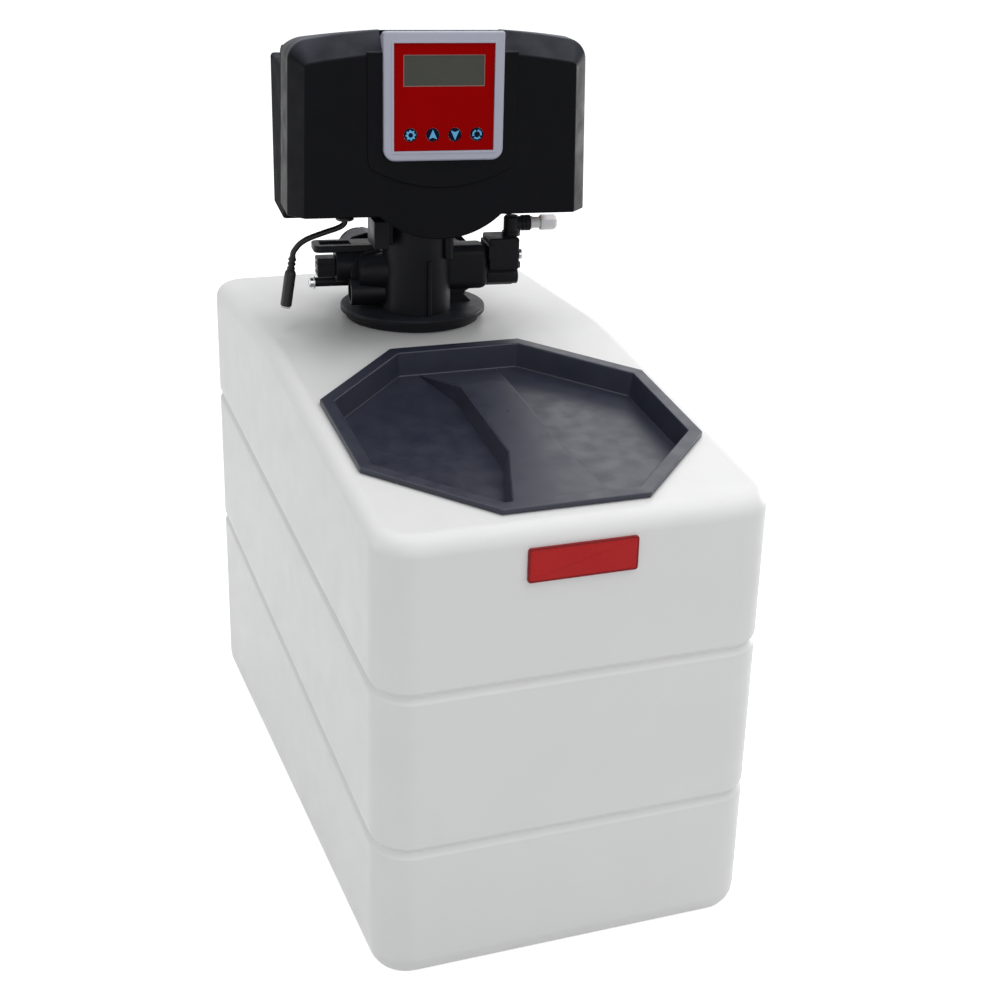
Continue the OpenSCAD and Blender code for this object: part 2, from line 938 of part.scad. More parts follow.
// Float on its rod
module brine_float() {
    color([0.92, 0.92, 0.90])
        translate([well_x + float_x, well_y, 0])
            difference() {
                tube_z(float_r, float_rod_r, float_z, float_z + float_h);
                translate([pickup_x - float_x, 0, 0])
                    rod_z(pickup_r + 1, float_z - past, float_z + float_h + past);
            }
}

// Resin tank

// Half outline of the tank, turned about its axis
module tank_outline(r, low, top, end_r) {
    translate([0, low])
        square([r - end_r, top - low]);
    translate([0, low + end_r])
        square([r, top - low - 2 * end_r]);
    for (z = [low + end_r, top - end_r])
        translate([r - end_r, z])
            circle(r = end_r);
}

// Boot under the tank
module tank_boot() {
    color([0.12, 0.12, 0.13])
        at_valve() {
            rod_z(boot_r, wall, tank_low_z);
            tube_z(boot_r, boot_r - boot_rim_w, tank_low_z, tank_low_z + boot_rim_h);
        }
}

// Wound tank with its neck through the deck
module resin_tank() {
    color([0.25, 0.42, 0.60])
        at_valve()
            difference() {
                union() {
                    rotate_extrude()
                        tank_outline(tank_r, tank_low_z, tank_top_z, tank_end_r);
                    rod_z(neck_r, tank_top_z - 2 * tank_wall, deck_z - fit);
                }
                rotate_extrude()
                    tank_outline(tank_r - tank_wall, tank_in_low_z, tank_top_z - tank_wall,
                        tank_end_r - tank_wall);
                rod_z(neck_bore_r, tank_top_z - 3 * tank_wall, deck_z + past);
            }
}

// Bed of resin beads, as one solid
module resin_bed() {
    bed_r = tank_r - tank_wall - bed_gap;
    end_r = tank_end_r - tank_wall - bed_gap;
    low = tank_in_low_z + bed_gap;
    color([0.78, 0.55, 0.20])
        at_valve()
            difference() {
                union() {
                    rotate_extrude() {
                        translate([0, low])
                            square([bed_r - end_r, resin_top_z - low]);
                        translate([bed_r - end_r, low + end_r])
                            circle(r = end_r);
                    }
                    rod_z(bed_r, low + end_r, resin_top_z);
                }
                rod_z(riser_r + bed_gap, low, resin_top_z + past);
                rod_z(basket_r + bed_gap, low - past, tank_in_low_z + basket_h + bed_gap);
            }
}

// Slotted basket at the foot of the riser
module lower_distributor() {
    top = tank_in_low_z + basket_h;
    pitch = (basket_h - 2 * basket_seat) / basket_slot_n;
    first = tank_in_low_z + basket_seat;
    color([0.90, 0.90, 0.88])
        at_valve()
            difference() {
                rod_z(basket_r, tank_in_low_z + fit, top);
                rod_z(riser_r + fit, top - basket_seat, top + past);
                rod_z(basket_r - basket_wall, first - 1, top - 2 * basket_seat);
                for (i = [0 : basket_slot_n - 1])
                    tube_z(basket_r + past, basket_r - basket_wall / 3, first + pitch * i,
                        first + pitch * i + basket_slot_h);
                rod_z(riser_r - riser_wall, top - 2 * basket_seat - past, top + past);
            }
}

// Riser tube from the lower basket up into the valve
module riser_tube() {
    foot = tank_in_low_z + basket_h - basket_seat + fit;
    color([0.90, 0.90, 0.88])
        at_valve()
            tube_z(riser_r, riser_r - riser_wall, foot, riser_top);
}

// Slotted basket under the valve, round the riser
module upper_distributor() {
    low = spigot_low - top_basket_h;
    color([0.90, 0.90, 0.88])
        at_valve()
            difference() {
                union() {
                    translate([0, 0, low])
                        cylinder(r1 = top_basket_r - 8, r2 = top_basket_r, h = top_basket_h - top_basket_rim);
                    rod_z(top_basket_r, spigot_low - top_basket_rim, spigot_low);
                }
                rod_z(riser_r + fit, low - past, spigot_low + past);
                for (i = [0 : 2])
                    tube_z(top_basket_r + past, top_basket_r - 10, low + 2 + top_slot_pitch * i,
                        low + 2 + top_slot_pitch * i + basket_slot_h);
            }
}

// Seal between the valve's spigot and the tank's neck
module tank_o_ring() {
    color([0.05, 0.05, 0.05])
        at_valve()
            seal_ring(spigot_r - ring_r + fit, ring_r, neck_ring_z);
}

// Seal between the riser and the valve
module riser_o_ring() {
    color([0.05, 0.05, 0.05])
        at_valve()
            seal_ring(riser_r + ring_r + run, ring_r, riser_ring_z);
}

// Control valve

// Cuts for the rear ports and the passages to the piston bore
module valve_passages() {
    for (side = [-1, 1]) {
        rod_y(boss_bore_r, 0, boss_end + past, side * port_x, port_level);
        rod_x(passage_r, side > 0 ? 0 : -port_x, side > 0 ? port_x : 0, passage_y, port_level);
    }
    rod_y(passage_r, housing_y, passage_y + 3, 0, port_level);
    rod_x(injector_bore_r, 0, arm_x1 + past, drain_y, injector_z);
    rod_x(drain_bore_r - drain_step, bore_r - 4, arm_x1 + past, drain_y, drain_z);
}

// Arms, bosses and ribs that stand out of the piston housing
module valve_arms() {
    for (side = [-1, 1])
        rod_y(boss_r, boss_start, boss_end, side * port_x, port_level);
    block([-port_x, bridge_y[0], port_level - bridge_half], [port_x, bridge_y[1], port_level + bridge_half]);
    block([-port_x - web_out, web_y[0], flange_top - 1], [port_x + web_out, web_y[1], port_level - web_drop]);
    block([arm_x0, arm_y0, arm_z0], [arm_x1, arm_y1, arm_z1]);
    rod_x(left_r, left_end, left_root, left_y, left_z);
    rod_x(stud_r, stud_end, -port_x, stud_y, stud_z);
    rod_x(socket_r, socket_end, left_root, socket_y, socket_z);
    translate([cone_x, socket_y, cone_z])
        rotate([0, 90, 0])
            cylinder(r1 = cone_r[0], r2 = cone_r[1], h = cone_l);
    block([lug_x[0], lug_y[0], lug_z], [lug_x[1], lug_y[1], housing_top]);
    block([lug_x[1] - 2, lug_web_y[0], lug_z], [-8, lug_web_y[1], housing_top]);
    block([rib_x, housing_y - housing_r - rib_t, flange_top - 1], [rib_x + rib_t, housing_y, rib_z]);
    translate([upright_x, housing_y - upright_fwd, 0])
        rod_z(upright_r, rib_z, housing_top);
    draw_y(-gusset_t / 2, gusset_t / 2)
        polygon([[housing_r - gusset_t, flange_top - 1], [flange_r - 5, flange_top - 1],
            [housing_r - gusset_t, gusset_z]]);
}

// Black valve body with flange, threaded spigot, piston housing and ports
module valve_body() {
    color([0.08, 0.08, 0.09])
        at_valve()
            difference() {
                union() {
                    rod_z(spigot_r, spigot_low, deck_z);
                    rod_z(flange_low_r, deck_z, flange_step);
                    rod_z(flange_r, flange_step, flange_top);
                    translate([0, housing_y, 0])
                        rod_z(housing_r, flange_top - 1, housing_top);
                    valve_arms();
                }
                rod_z(riser_bore_r, spigot_low - past, riser_bore_top);
                tube_z(riser_r + ring_groove, riser_bore_r - 1, riser_ring_z - ring_groove / 2,
                    riser_ring_z + ring_groove / 2);
                tube_z(spigot_r + past, spigot_r - 2 * ring_r, neck_ring_z - ring_groove / 2,
                    neck_ring_z + ring_groove / 2);
                translate([0, housing_y, 0])
                    rod_z(bore_r, bore_low, housing_top + past);
                valve_passages();
                rod_x(plug_r + fit, left_end - past, left_end + plug_reach + 1, left_y, left_z);
                rod_x(clip_screw_r + fit, stud_end - past, stud_end + clip_screw_l + 1, stud_y, stud_z);
                rod_x(socket_bore_r, socket_end - past, socket_end + socket_depth, socket_y, socket_z);
                for (y = [arm_y0 + inj_screw_in, arm_y1 - inj_screw_in])
                    rod_x(inj_screw_r + fit, arm_x1 - inj_screw_l - 1, arm_x1 + past, y, injector_z);
            }
}

// Sleeve in the piston bore with windows and seal grooves
module seal_cage() {
    color([0.75, 0.76, 0.78])
        at_housing()
            difference() {
                tube_z(bore_r - fit, cage_in_r, cage_low, cage_top);
                for (i = [0 : seal_n - 1])
                    translate([0, 0, seal_first + seal_pitch * i])
                        tube_z(seal_mid_r + seal_r + run, cage_in_r - 1, -seal_r - run, seal_r + run);
                for (i = [0 : seal_n - 2]) {
                    rod_x(window_r, -2 * bore_r, 2 * bore_r, 0, seal_first + seal_pitch * (i + 0.5));
                    rod_y(window_r, -2 * bore_r, 2 * bore_r, 0, seal_first + seal_pitch * (i + 0.5));
                }
            }
}

// Piston seals, alike, in the grooves of the sleeve
module piston_seals() {
    color([0.05, 0.05, 0.05])
        at_housing()
            for (i = [0 : seal_n - 1])
                seal_ring(seal_mid_r, seal_r, seal_first + seal_pitch * i);
}

// Piston with two waists, shown in its lowest place
module piston() {
    color([0.20, 0.21, 0.23])
        at_housing()
            difference() {
                rod_z(piston_r, piston_low, piston_top);
                for (z = waist_z)
                    tube_z(piston_r + past, piston_r - waist_d, piston_low + z, piston_low + z + waist_h);
            }
}

// Threaded rod that the drive gear raises and lowers
module piston_rod() {
    color([0.75, 0.76, 0.78])
        at_housing()
            rod_z(rod_r, piston_top, rod_top);
}

// Plug that closes the top of the piston bore
module bore_cap() {
    color([0.10, 0.10, 0.11])
        at_housing()
            difference() {
                union() {
                    rod_z(bore_r - fit, housing_top - plug_l, housing_top);
                    rod_z(cap_r, housing_top, housing_top + cap_t);
                }
                rod_z(rod_r + run, housing_top - plug_l - past, housing_top + cap_t + past);
            }
}

// Threaded spigot of a rear port, with the collar that its nut draws in
module port_spigot(x) {
    at_valve()
        difference() {
            union() {
                rod_y(collar_r, boss_end, boss_end + collar_t, x, port_level);
                rod_y(thread_r - ridge_h, boss_end, spigot_end, x, port_level);
                for (i = [1 : 4])
                    rod_y(thread_r, spigot_end - ridge_pitch * i,
                        spigot_end - ridge_pitch * (i - 0.5), x, port_level);
            }
            rod_y(spigot_bore_r, boss_end - past, spigot_end + past, x, port_level);
        }
}

// Left rear port, where the hard water comes in
module inlet_spigot() {
    color([0.10, 0.10, 0.11])
        port_spigot(-port_x);
}

// Right rear port, where the softened water leaves
module outlet_spigot() {
    color([0.10, 0.10, 0.11])
        port_spigot(port_x);
}

// Union nuts of the two rear ports, alike
module spigot_nuts() {
    color([0.10, 0.10, 0.11])
        at_valve()
            for (side = [-1, 1])
                difference() {
                    translate([side * port_x, nut_start, port_level])
                        rotate([-90, 0, 0])
                            cylinder(r = boss_r + nut_wall, h = nut_end - nut_start, $fn = 12);
                    rod_y(boss_r + fit, nut_start - past, boss_end + collar_t, side * port_x, port_level);
                    rod_y(thread_r + fit, nut_start, spigot_end, side * port_x, port_level);
                }
}

// Bearing cage of the water meter in the outlet port
module meter_cage() {
    color([0.85, 0.85, 0.83])
        at_valve()
            translate([port_x, 0, port_level]) {
                for (y = cage_y) {
                    difference() {
                        rod_y(boss_bore_r - fit, y, y + cage_arm_w, 0, 0);
                        rod_y(boss_bore_r - fit - cage_ring_t, y - past, y + cage_arm_w + past, 0, 0);
                    }
                    block([-boss_bore_r + cage_ring_t / 2, y, -cage_arm_w / 2],
                        [boss_bore_r - cage_ring_t / 2, y + cage_arm_w, cage_arm_w / 2]);
                }
                rod_y(turbine_pin_r, cage_y[0], cage_y[1] + cage_arm_w, 0, 0);
            }
}

// Turbine of the water meter
module meter_turbine() {
    color([0.20, 0.35, 0.60])
        at_valve()
            translate([port_x, 0, port_level])
                difference() {
                    union() {
                        rod_y(hub_r, turbine_y - 1, turbine_y + turbine_l + 1, 0, 0);
                        for (i = [0 : blade_n - 1])
                            rotate([0, 360 / blade_n * i, 0])
                                block([0, turbine_y, -blade_t / 2],
                                    [turbine_r, turbine_y + turbine_l, blade_t / 2]);
                    }
                    rod_y(turbine_pin_r + run, turbine_y - 5, turbine_y + turbine_l + 5, 0, 0);
                }
}

// Injector, brine line and drain

// Block that holds the injector, bolted to the valve's right arm
module injector_block() {
    color([0.08, 0.08, 0.09])
        at_valve()
            difference() {
                union() {
                    block([arm_x1, arm_y0, injector_z0], [injector_x1, arm_y1, injector_z1]);
                    block([arm_x1, arm_y0 + 3, injector_z0],
                        [injector_x1 + foot_out, arm_y1 - 3, injector_z0 + foot_h]);
                }
                rod_x(injector_bore_r, arm_x1 - past, injector_x1 - 2, drain_y, injector_z);
                translate([elbow_x, drain_y, 0])
                    rod_z(2, injector_z, injector_z1 + past);
                for (y = [arm_y0 + inj_screw_in, arm_y1 - inj_screw_in])
                    rod_x(inj_screw_r + fit, arm_x1 - past, injector_x1 + past, y, injector_z);
            }
}

// Nozzle of the injector
module injector_nozzle() {
    color([0.85, 0.30, 0.20])
        at_valve()
            difference() {
                rod_x(injector_bore_r - fit, arm_x1 + 1, arm_x1 + 1 + nozzle_l, drain_y, injector_z);
                rod_x(nozzle_r, arm_x1, arm_x1 + 2 + nozzle_l, drain_y, injector_z);
            }
}

// Throat of the injector, just after the nozzle
module injector_throat() {
    x0 = arm_x1 + 1 + nozzle_l;
    color([0.85, 0.30, 0.20])
        at_valve()
            difference() {
                rod_x(injector_bore_r - fit, x0, x0 + throat_l, drain_y, injector_z);
                rod_x(throat_r, x0 - past, x0 + throat_l + past, drain_y, injector_z);
            }
}

// Steel screws of the injector block, alike
module injector_screws() {
    color([0.75, 0.76, 0.78])
        at_valve()
            for (y = [arm_y0 + inj_screw_in, arm_y1 - inj_screw_in]) {
                rod_x(inj_screw_r, arm_x1 - inj_screw_l, injector_x1, y, injector_z);
                difference() {
                    rod_x(inj_head_r, injector_x1, injector_x1 + inj_head_t, y, injector_z);
                    hex_x(inj_key_af, injector_x1 + inj_head_t - inj_key_d, injector_x1 + inj_head_t + past,
                        y, injector_z);
                }
            }
}

// Black elbow on the injector block
module brine_elbow() {
    color([0.08, 0.08, 0.09])
        at_valve()
            difference() {
                union() {
                    translate([elbow_x, drain_y, 0]) {
                        rod_z(elbow_r + 0.8, injector_z1, injector_z1 + elbow_foot_h);
                        rod_z(elbow_r, injector_z1, elbow_z + elbow_r);
                    }
                    rod_x(elbow_neck_r, elbow_x, elbow_x1 - elbow_mouth + 1, drain_y, elbow_z);
                    rod_x(elbow_r, elbow_x1 - elbow_mouth, elbow_x1, drain_y, elbow_z);
                }
                rod_x(elbow_bore_r, elbow_x - elbow_bore_r, elbow_x1 + past, drain_y, elbow_z);
                translate([elbow_x, drain_y, 0])
                    rod_z(elbow_bore_r - fit, injector_z1 - past, elbow_z);
            }
}

// White fitting that takes the brine tube
module tube_fitting() {
    color([0.93, 0.94, 0.95])
        at_valve()
            difference() {
                union() {
                    rod_x(tube_body_r, elbow_x1, tube_nut_x1 - nut_shelf, drain_y, elbow_z);
                    rod_x(tube_body_r + 0.5, elbow_x1, elbow_x1 + 1.5, drain_y, elbow_z);
                }
                rod_x(brine_bore_r, elbow_x1 - past, tube_nut_x1 + past, drain_y, elbow_z);
            }
}

// White nut that grips the brine tube
module tube_nut() {
    color([0.93, 0.94, 0.95])
        at_valve()
            difference() {
                hex_x(2 * tube_nut_r, tube_body_x1, tube_nut_x1, drain_y, elbow_z);
                rod_x(tube_body_r + fit, tube_body_x1 - past, tube_nut_x1 - nut_shelf + fit,
                    drain_y, elbow_z);
                rod_x(brine_bore_r + 0.2, tube_body_x1, tube_nut_x1 + past, drain_y, elbow_z);
            }
}

// Hexagonal drain nut with its flow bore
module drain_nut() {
    color([0.08, 0.08, 0.09])
        at_valve()
            difference() {
                union() {
                    hex_x(drain_af, arm_x1, drain_x1 - drain_nose, drain_y, drain_z);
                    rod_x(drain_af / 2, drain_x1 - drain_nose, drain_x1, drain_y, drain_z);
                }
                rod_x(drain_bore_r, arm_x1 - past, drain_x1 + past, drain_y, drain_z);
            }
}

// Plug in the valve's left port
module port_plug() {
    color([0.08, 0.08, 0.09])
        at_valve() {
            rod_x(plug_r, left_end, left_end + plug_reach, left_y, left_z);
            block([plug_head_x, left_y - plug_head_w / 2, left_z - plug_head_h / 2],
                [left_end, left_y + plug_head_w / 2, left_z + plug_head_h / 2]);
        }
}

// Clip plate over the left port
module port_clip() {
    low = left_z + left_r + fit;
    color([0.08, 0.08, 0.09])
        at_valve()
            difference() {
                block([clip_x0, left_y - clip_w / 2, low], [clip_x1, left_y + clip_w / 2, low + clip_t]);
                rod_y(boss_r + fit, -2 * clip_w, 2 * clip_w, -port_x, port_level);
                block([clip_x0 + clip_edge, left_y - clip_w / 2 + clip_edge, low + clip_t - clip_dish],
                    [clip_x1 - clip_dish_gap, left_y + clip_w / 2 - clip_edge, low + clip_t + past]);
            }
}

// Steel screw with its washer on the end of the stud
module clip_screw() {
    head_x = stud_end - washer_t;
    color([0.78, 0.79, 0.80])
        at_valve()
            difference() {
                union() {
                    rod_x(clip_screw_r, stud_end, stud_end + clip_screw_l, stud_y, stud_z);
                    rod_x(washer_r, head_x, stud_end, stud_y, stud_z);
                    rod_x(clip_head_r, head_x - clip_head_t, head_x, stud_y, stud_z);
                }
                hex_x(clip_key_af, head_x - clip_head_t - past, head_x - clip_head_t + clip_key_d,
                    stud_y, stud_z);
            }
}

// Control head

// Front view of the cover: arched top, flat foot and the round drop at its middle
module cover_outline(inset) {
    hw = cover_hw - inset;
    top_hw = hw - cover_taper;
    r = crown_r - inset;
    low = cover_low_z + inset;
    shoulder = cover_top_z - crown_r + sqrt(r * r - top_hw * top_hw);
    peak = cover_top_z - crown_r + r * r / sqrt(r * r - top_hw * top_hw);
    intersection() {
        rounded_outline([[-hw, low], [hw, low], [top_hw, shoulder], [0, peak], [-top_hw, shoulder]],
            [cover_corner_r, cover_corner_r, shoulder_r, 0, shoulder_r]);
        translate([0, cover_top_z - crown_r])
            circle(r = r, $fn = 128);
    }
    translate([0, drop_z])
        circle(r = drop_r - inset);
}

// Height of the cover's roof, which falls to the rear
function roof_z(y) = cover_top_z - roof_slope * (y - cover_front - band_d);

// Solid form of the cover: front view, plan and side view cut into one another
module cover_form(inset, rear) {
    hw = cover_hw - inset;
    front = cover_front + inset;
    slant = inset * 0.45;
    ridge = cover_front + band_d + slant;
    sunk = 1.1 * inset;
    intersection() {
        draw_y(front, rear)
            cover_outline(inset);
        translate([0, 0, deck_z])
            linear_extrude(2 * cover_top)
                polygon([[-hw, rear + past], [-hw, ridge], [-hw + band_w, front],
                    [hw - band_w, front], [hw, ridge], [hw, rear + past]]);
        draw_x(3 * cover_hw)
            polygon([[rear + past, deck_z], [front, deck_z], [front, face_top_z - slant],
                [ridge, roof_z(ridge) - sunk], [rear + past, roof_z(rear + past) - sunk]]);
    }
}

// Case behind the cover: a closing plate with the drive box behind it
module back_case() {
    color([0.09, 0.09, 0.10])
        at_valve()
            difference() {
                union() {
                    draw_y(cover_rear, plate_rear)
                        cover_outline(0);
                    block([-case_hw, cover_rear, case_low_z], [case_hw, case_back, case_top_z]);
                }
                block([-cover_hw, cover_rear - past, roof_rear_z],
                    [cover_hw, plate_rear + past, cover_top_z + past]);
                block([-case_hw + case_wall, plate_rear, case_low_z + case_wall],
                    [case_hw - case_wall, case_back - case_wall, case_top_z - case_wall]);
                block([-case_hw + case_wall, cover_rear - past, cover_low_z + cover_wall],
                    [case_hw - case_wall, plate_rear + past, case_top_z - case_wall]);
                translate([0, housing_y, 0])
                    rod_z(cap_r + clear, case_low_z - past, case_low_z + 2 * case_wall);
                translate([gland_x, gland_y, 0])
                    rod_z(gland_stem_r + fit, case_low_z - past, case_low_z + 2 * case_wall);
                for (side = [-1, 1])
                    rod_y(cover_screw_r + fit, cover_rear - past, plate_rear + past,
                        side * cover_screw_x, cover_screw_z);
            }
}

// Bracket on posts that holds the drive gear down and carries the motor
module gear_bracket() {
    color([0.30, 0.31, 0.33])
        at_valve()
            difference() {
                union() {
                    block([bracket_x0, bracket_y0, bracket_low],
                        [bracket_x1, bracket_y1, bracket_low + bracket_t]);
                    for (x = [bracket_x0 + post_r, bracket_x1 - post_r])
                        for (y = [bracket_y0 + post_r, bracket_y1 - post_r])
                            translate([x, y, 0])
                                rod_z(post_r, case_low_z + case_wall, bracket_low);
                }
                translate([0, housing_y, 0])
                    rod_z(rod_r + clear, bracket_low - past, bracket_low + bracket_t + past);
                translate([motor_x, housing_y, 0])
                    rod_z(shaft_r + clear, bracket_low - past, bracket_low + bracket_t + past);
            }
}

// Outline of a spur gear with straight-sided teeth
module gear_outline(teeth, r, turn) {
    step = 360 / teeth;
    root = r - 1.4 * tooth_h;
    tip = r + tooth_h;
    rotate(turn)
        polygon([for (i = [0 : teeth - 1])
            for (corner = [[root, -0.24], [tip, -0.1], [tip, 0.1], [root, 0.24]])
                let (a = step * (i + corner[1]))
                [corner[0] * cos(a), corner[0] * sin(a)]]);
}

// Drive gear with the nut thread that lifts the piston rod
module drive_gear() {
    color([0.92, 0.92, 0.90])
        at_housing()
            difference() {
                union() {
                    translate([0, 0, drive_low])
                        linear_extrude(gear_t)
                            gear_outline(gear_teeth, gear_r, 0);
                    rod_z(hub_out_r, housing_top + cap_t + clear, bracket_low - clear);
                }
                rod_z(rod_r + run, housing_top, bracket_low + past);
            }
}

// Motor pinion with the motor's shaft
module motor_pinion() {
    color([0.80, 0.72, 0.45])
        at_housing()
            translate([motor_x, 0, 0]) {
                translate([0, 0, drive_low - 1])
                    linear_extrude(pinion_t)
                        gear_outline(pinion_teeth, pinion_r, 180 / pinion_teeth);
                rod_z(shaft_r, drive_low - 1, bracket_low + bracket_t + shaft_in);
            }
}

// Motor on the bracket
module drive_motor() {
    low = bracket_low + bracket_t;
    color([0.70, 0.71, 0.73])
        at_housing()
            translate([motor_x, 0, 0])
                difference() {
                    union() {
                        rod_z(motor_r, low, low + motor_h);
                        rod_z(motor_r / 3, low + motor_h, low + motor_h + motor_cap_t);
                    }
                    rod_z(shaft_r + run, low - past, low + shaft_in + 0.5);
                }
}

// Front cover with slanted side and top bands and a raised panel round the bezel
module front_cover() {
    inner_rear = cover_rear + past;
    color([0.08, 0.08, 0.09])
        at_valve()
            difference() {
                union() {
                    difference() {
                        cover_form(0, cover_rear);
                        cover_form(cover_wall, inner_rear);
                    }
                    draw_y(cover_front - pad_t, cover_front)
                        intersection() {
                            rounded_outline([[-pad_hw, pad_z], [pad_hw, pad_z], [pad_hw, face_top_z],
                                [-pad_hw, face_top_z]], [pad_corner_r, pad_corner_r, 0, 0]);
                            translate([0, pad_z + pad_foot_r])
                                circle(r = pad_foot_r);
                        }
                    intersection() {
                        union()
                            for (side = [-1, 1]) {
                                rod_y(cover_boss_r, cover_rear - cover_boss_l, cover_rear,
                                    side * cover_screw_x, cover_screw_z);
                                block([side * cover_screw_x - cover_boss_r, cover_rear - cover_boss_l,
                                    cover_screw_z],
                                    [side * cover_screw_x + cover_boss_r, cover_rear, cover_top_z]);
                            }
                        cover_form(cover_wall / 2, cover_rear);
                    }
                }
                for (side = [-1, 1])
                    rod_y(cover_screw_r + fit, cover_rear - cover_screw_l - 1, cover_rear + past,
                        side * cover_screw_x, cover_screw_z);
                block([-bezel_hw - fit, bezel_front - past, bezel_low - fit],
                    [bezel_hw + fit, bezel_rear + fit, cover_top_z + 20]);
            }
}

// Screws that hold the cover to the case, alike
module cover_screws() {
    color([0.70, 0.71, 0.73])
        at_valve()
            for (side = [-1, 1]) {
                rod_y(cover_screw_r, cover_rear - cover_screw_l, plate_rear,
                    side * cover_screw_x, cover_screw_z);
                rod_y(screw_head_r, plate_rear, plate_rear + screw_head_t,
                    side * cover_screw_x, cover_screw_z);
            }
}

// Display and keys

// Places of the four keys across the panel
function key_x(i) = (i - 1.5) * key_pitch;

// Front view of the bezel
module bezel_outline(inset) {
    hw = bezel_hw - inset;
    rounded_outline([[-hw, bezel_low + inset], [hw, bezel_low + inset], [hw, bezel_top - inset],
        [-hw, bezel_top - inset]], [bezel_corner_r, bezel_corner_r, bezel_top_r, bezel_top_r]);
}

// Silver bezel box that carries the display, set into the top of the cover
module display_bezel() {
    color([0.62, 0.65, 0.70])
        at_valve()
            difference() {
                intersection() {
                    union() {
                        draw_y(bezel_front + bezel_step, bezel_rear)
                            bezel_outline(0);
                        draw_y(bezel_front, bezel_front + bezel_step)
                            bezel_outline(bezel_step);
                    }
                    draw_x(3 * bezel_hw)
                        polygon([[bezel_front - past, deck_z], [bezel_rear + past, deck_z],
                            [bezel_rear + past, bezel_top - roof_slope * 16],
                            [bezel_rear - 16, bezel_top + past], [bezel_front - past, bezel_top + past]]);
                }
                draw_y(bezel_front + bezel_face, bezel_rear + past)
                    translate([-bezel_hw + bezel_side, bezel_low + bezel_side])
                        square([2 * (bezel_hw - bezel_side), bezel_h - bezel_side - bezel_roof]);
                block([-panel_hw - fit, bezel_front - past, panel_low - fit],
                    [panel_hw + fit, panel_front + panel_t, panel_top + fit]);
                block([-screen_hw - fit, bezel_front, screen_low - fit],
                    [screen_hw + fit, bezel_front + bezel_face + past, screen_top + fit]);
                for (i = [0 : 3])
                    rod_y(key_r + clear, bezel_front, bezel_front + bezel_face + past, key_x(i), key_z);
            }
}

// Circuit board behind the bezel with a switch behind each key
module circuit_board() {
    color([0.10, 0.35, 0.20])
        at_valve() {
            block([-bezel_hw + bezel_side + fit, board_front, bezel_low + bezel_side + fit],
                [bezel_hw - bezel_side - fit, board_front + board_t, bezel_top - bezel_roof - fit]);
            for (i = [0 : 3])
                block([key_x(i) - switch_w / 2, switch_front, key_z - switch_w / 2],
                    [key_x(i) + switch_w / 2, board_front, key_z + switch_w / 2]);
        }
}

// Liquid crystal screen on the board, level with the panel
module display_screen() {
    color([0.25, 0.25, 0.23])
        at_valve()
            block([-screen_hw, screen_front, screen_low], [screen_hw, board_front, screen_top]);
}

// Red overlay panel with the screen window and the key holes
module display_panel() {
    color([0.50, 0.02, 0.03])
        at_valve()
            difference() {
                block([-panel_hw, panel_front, panel_low], [panel_hw, panel_front + panel_t, panel_top]);
                block([-screen_hw - fit, panel_front - past, screen_low - fit],
                    [screen_hw + fit, panel_front + panel_t + past, screen_top + fit]);
                for (i = [0 : 3])
                    rod_y(key_r + clear, panel_front - past, panel_front + panel_t + past, key_x(i), key_z);
            }
}

// One key: a round cap with a flange behind the bezel
module panel_key(i) {
    color([0.04, 0.08, 0.20])
        at_valve() {
            rod_y(key_r, key_front, key_back, key_x(i), key_z);
            rod_y(key_flange_r, key_back - key_flange_t, key_back, key_x(i), key_z);
        }
}

// Settings key
module settings_key() {
    panel_key(0);
}

// Up key
module up_key() {
    panel_key(1);
}

// Down key
module down_key() {
    panel_key(2);
}

// Key that starts a cleaning cycle
module cycle_key() {
    panel_key(3);
}

// Power lead

// Gland where the lead leaves the case
module lead_gland() {
    color([0.05, 0.05, 0.05])
        at_valve()
            translate([gland_x, gland_y, 0]) {
                rod_z(gland_r, case_low_z - gland_t, case_low_z);
                rod_z(gland_stem_r, case_low_z, case_low_z + case_wall + gland_out);
            }
}

// Direction of the route at a point
function route_dir(p, i) = unit(p[min(i + 1, len(p) - 1)] - p[max(i - 1, 0)]);

// Ring of points round one point of a route that keeps to one upright plane
function route_ring(p, i, r, n) =
    let (d = route_dir(p, i), side = [0, 1, 0], out = cross(side, d))
    [for (k = [0 : n - 1]) p[i] + r * (cos(360 * k / n) * side + sin(360 * k / n) * out)];

// Tube along a route, closed at both ends
module route_tube(p, r, n) {
    m = len(p);
    polyhedron(
        points = concat([for (i = [0 : m - 1]) each route_ring(p, i, r, n)], [p[0], p[m - 1]]),
        faces = concat(
            [for (i = [0 : m - 2], k = [0 : n - 1])
                let (a = i * n + k, b = i * n + (k + 1) % n)
                each [[a, b + n, b], [a, a + n, b + n]]],
            [for (k = [0 : n - 1]) [m * n, k, (k + 1) % n]],
            [for (k = [0 : n - 1]) [m * n + 1, (m - 1) * n + (k + 1) % n, (m - 1) * n + k]]));
}

// Short lead from the gland to the jack
module power_lead() {
    color([0.04, 0.04, 0.04])
        at_valve()
            route_tube(lead_route, lead_r, lead_sides);
}

// Frame of the jack: at the lead's end, Z along the jack
module at_jack() {
    at_valve()
        translate(lead_route[len(lead_route) - 1])
            rotate([0, 180 + jack_lean, 0])
                children();
}

// Jack with its ribbed strain relief
module power_jack() {
    color([0.04, 0.04, 0.05])
        at_jack()
            difference() {
                union() {
                    rod_z(relief_r - relief_groove, fit, relief_l + 1);
                    for (i = [0 : 2])
                        rod_z(relief_r, 1 + relief_pitch * i, relief_pitch * (i + 1));
                    rod_z(jack_r, relief_l, relief_l + jack_l);
                }
                rod_z(tip_ring_r + fit, relief_l + jack_l - tip_depth, relief_l + jack_l + past);
            }
}

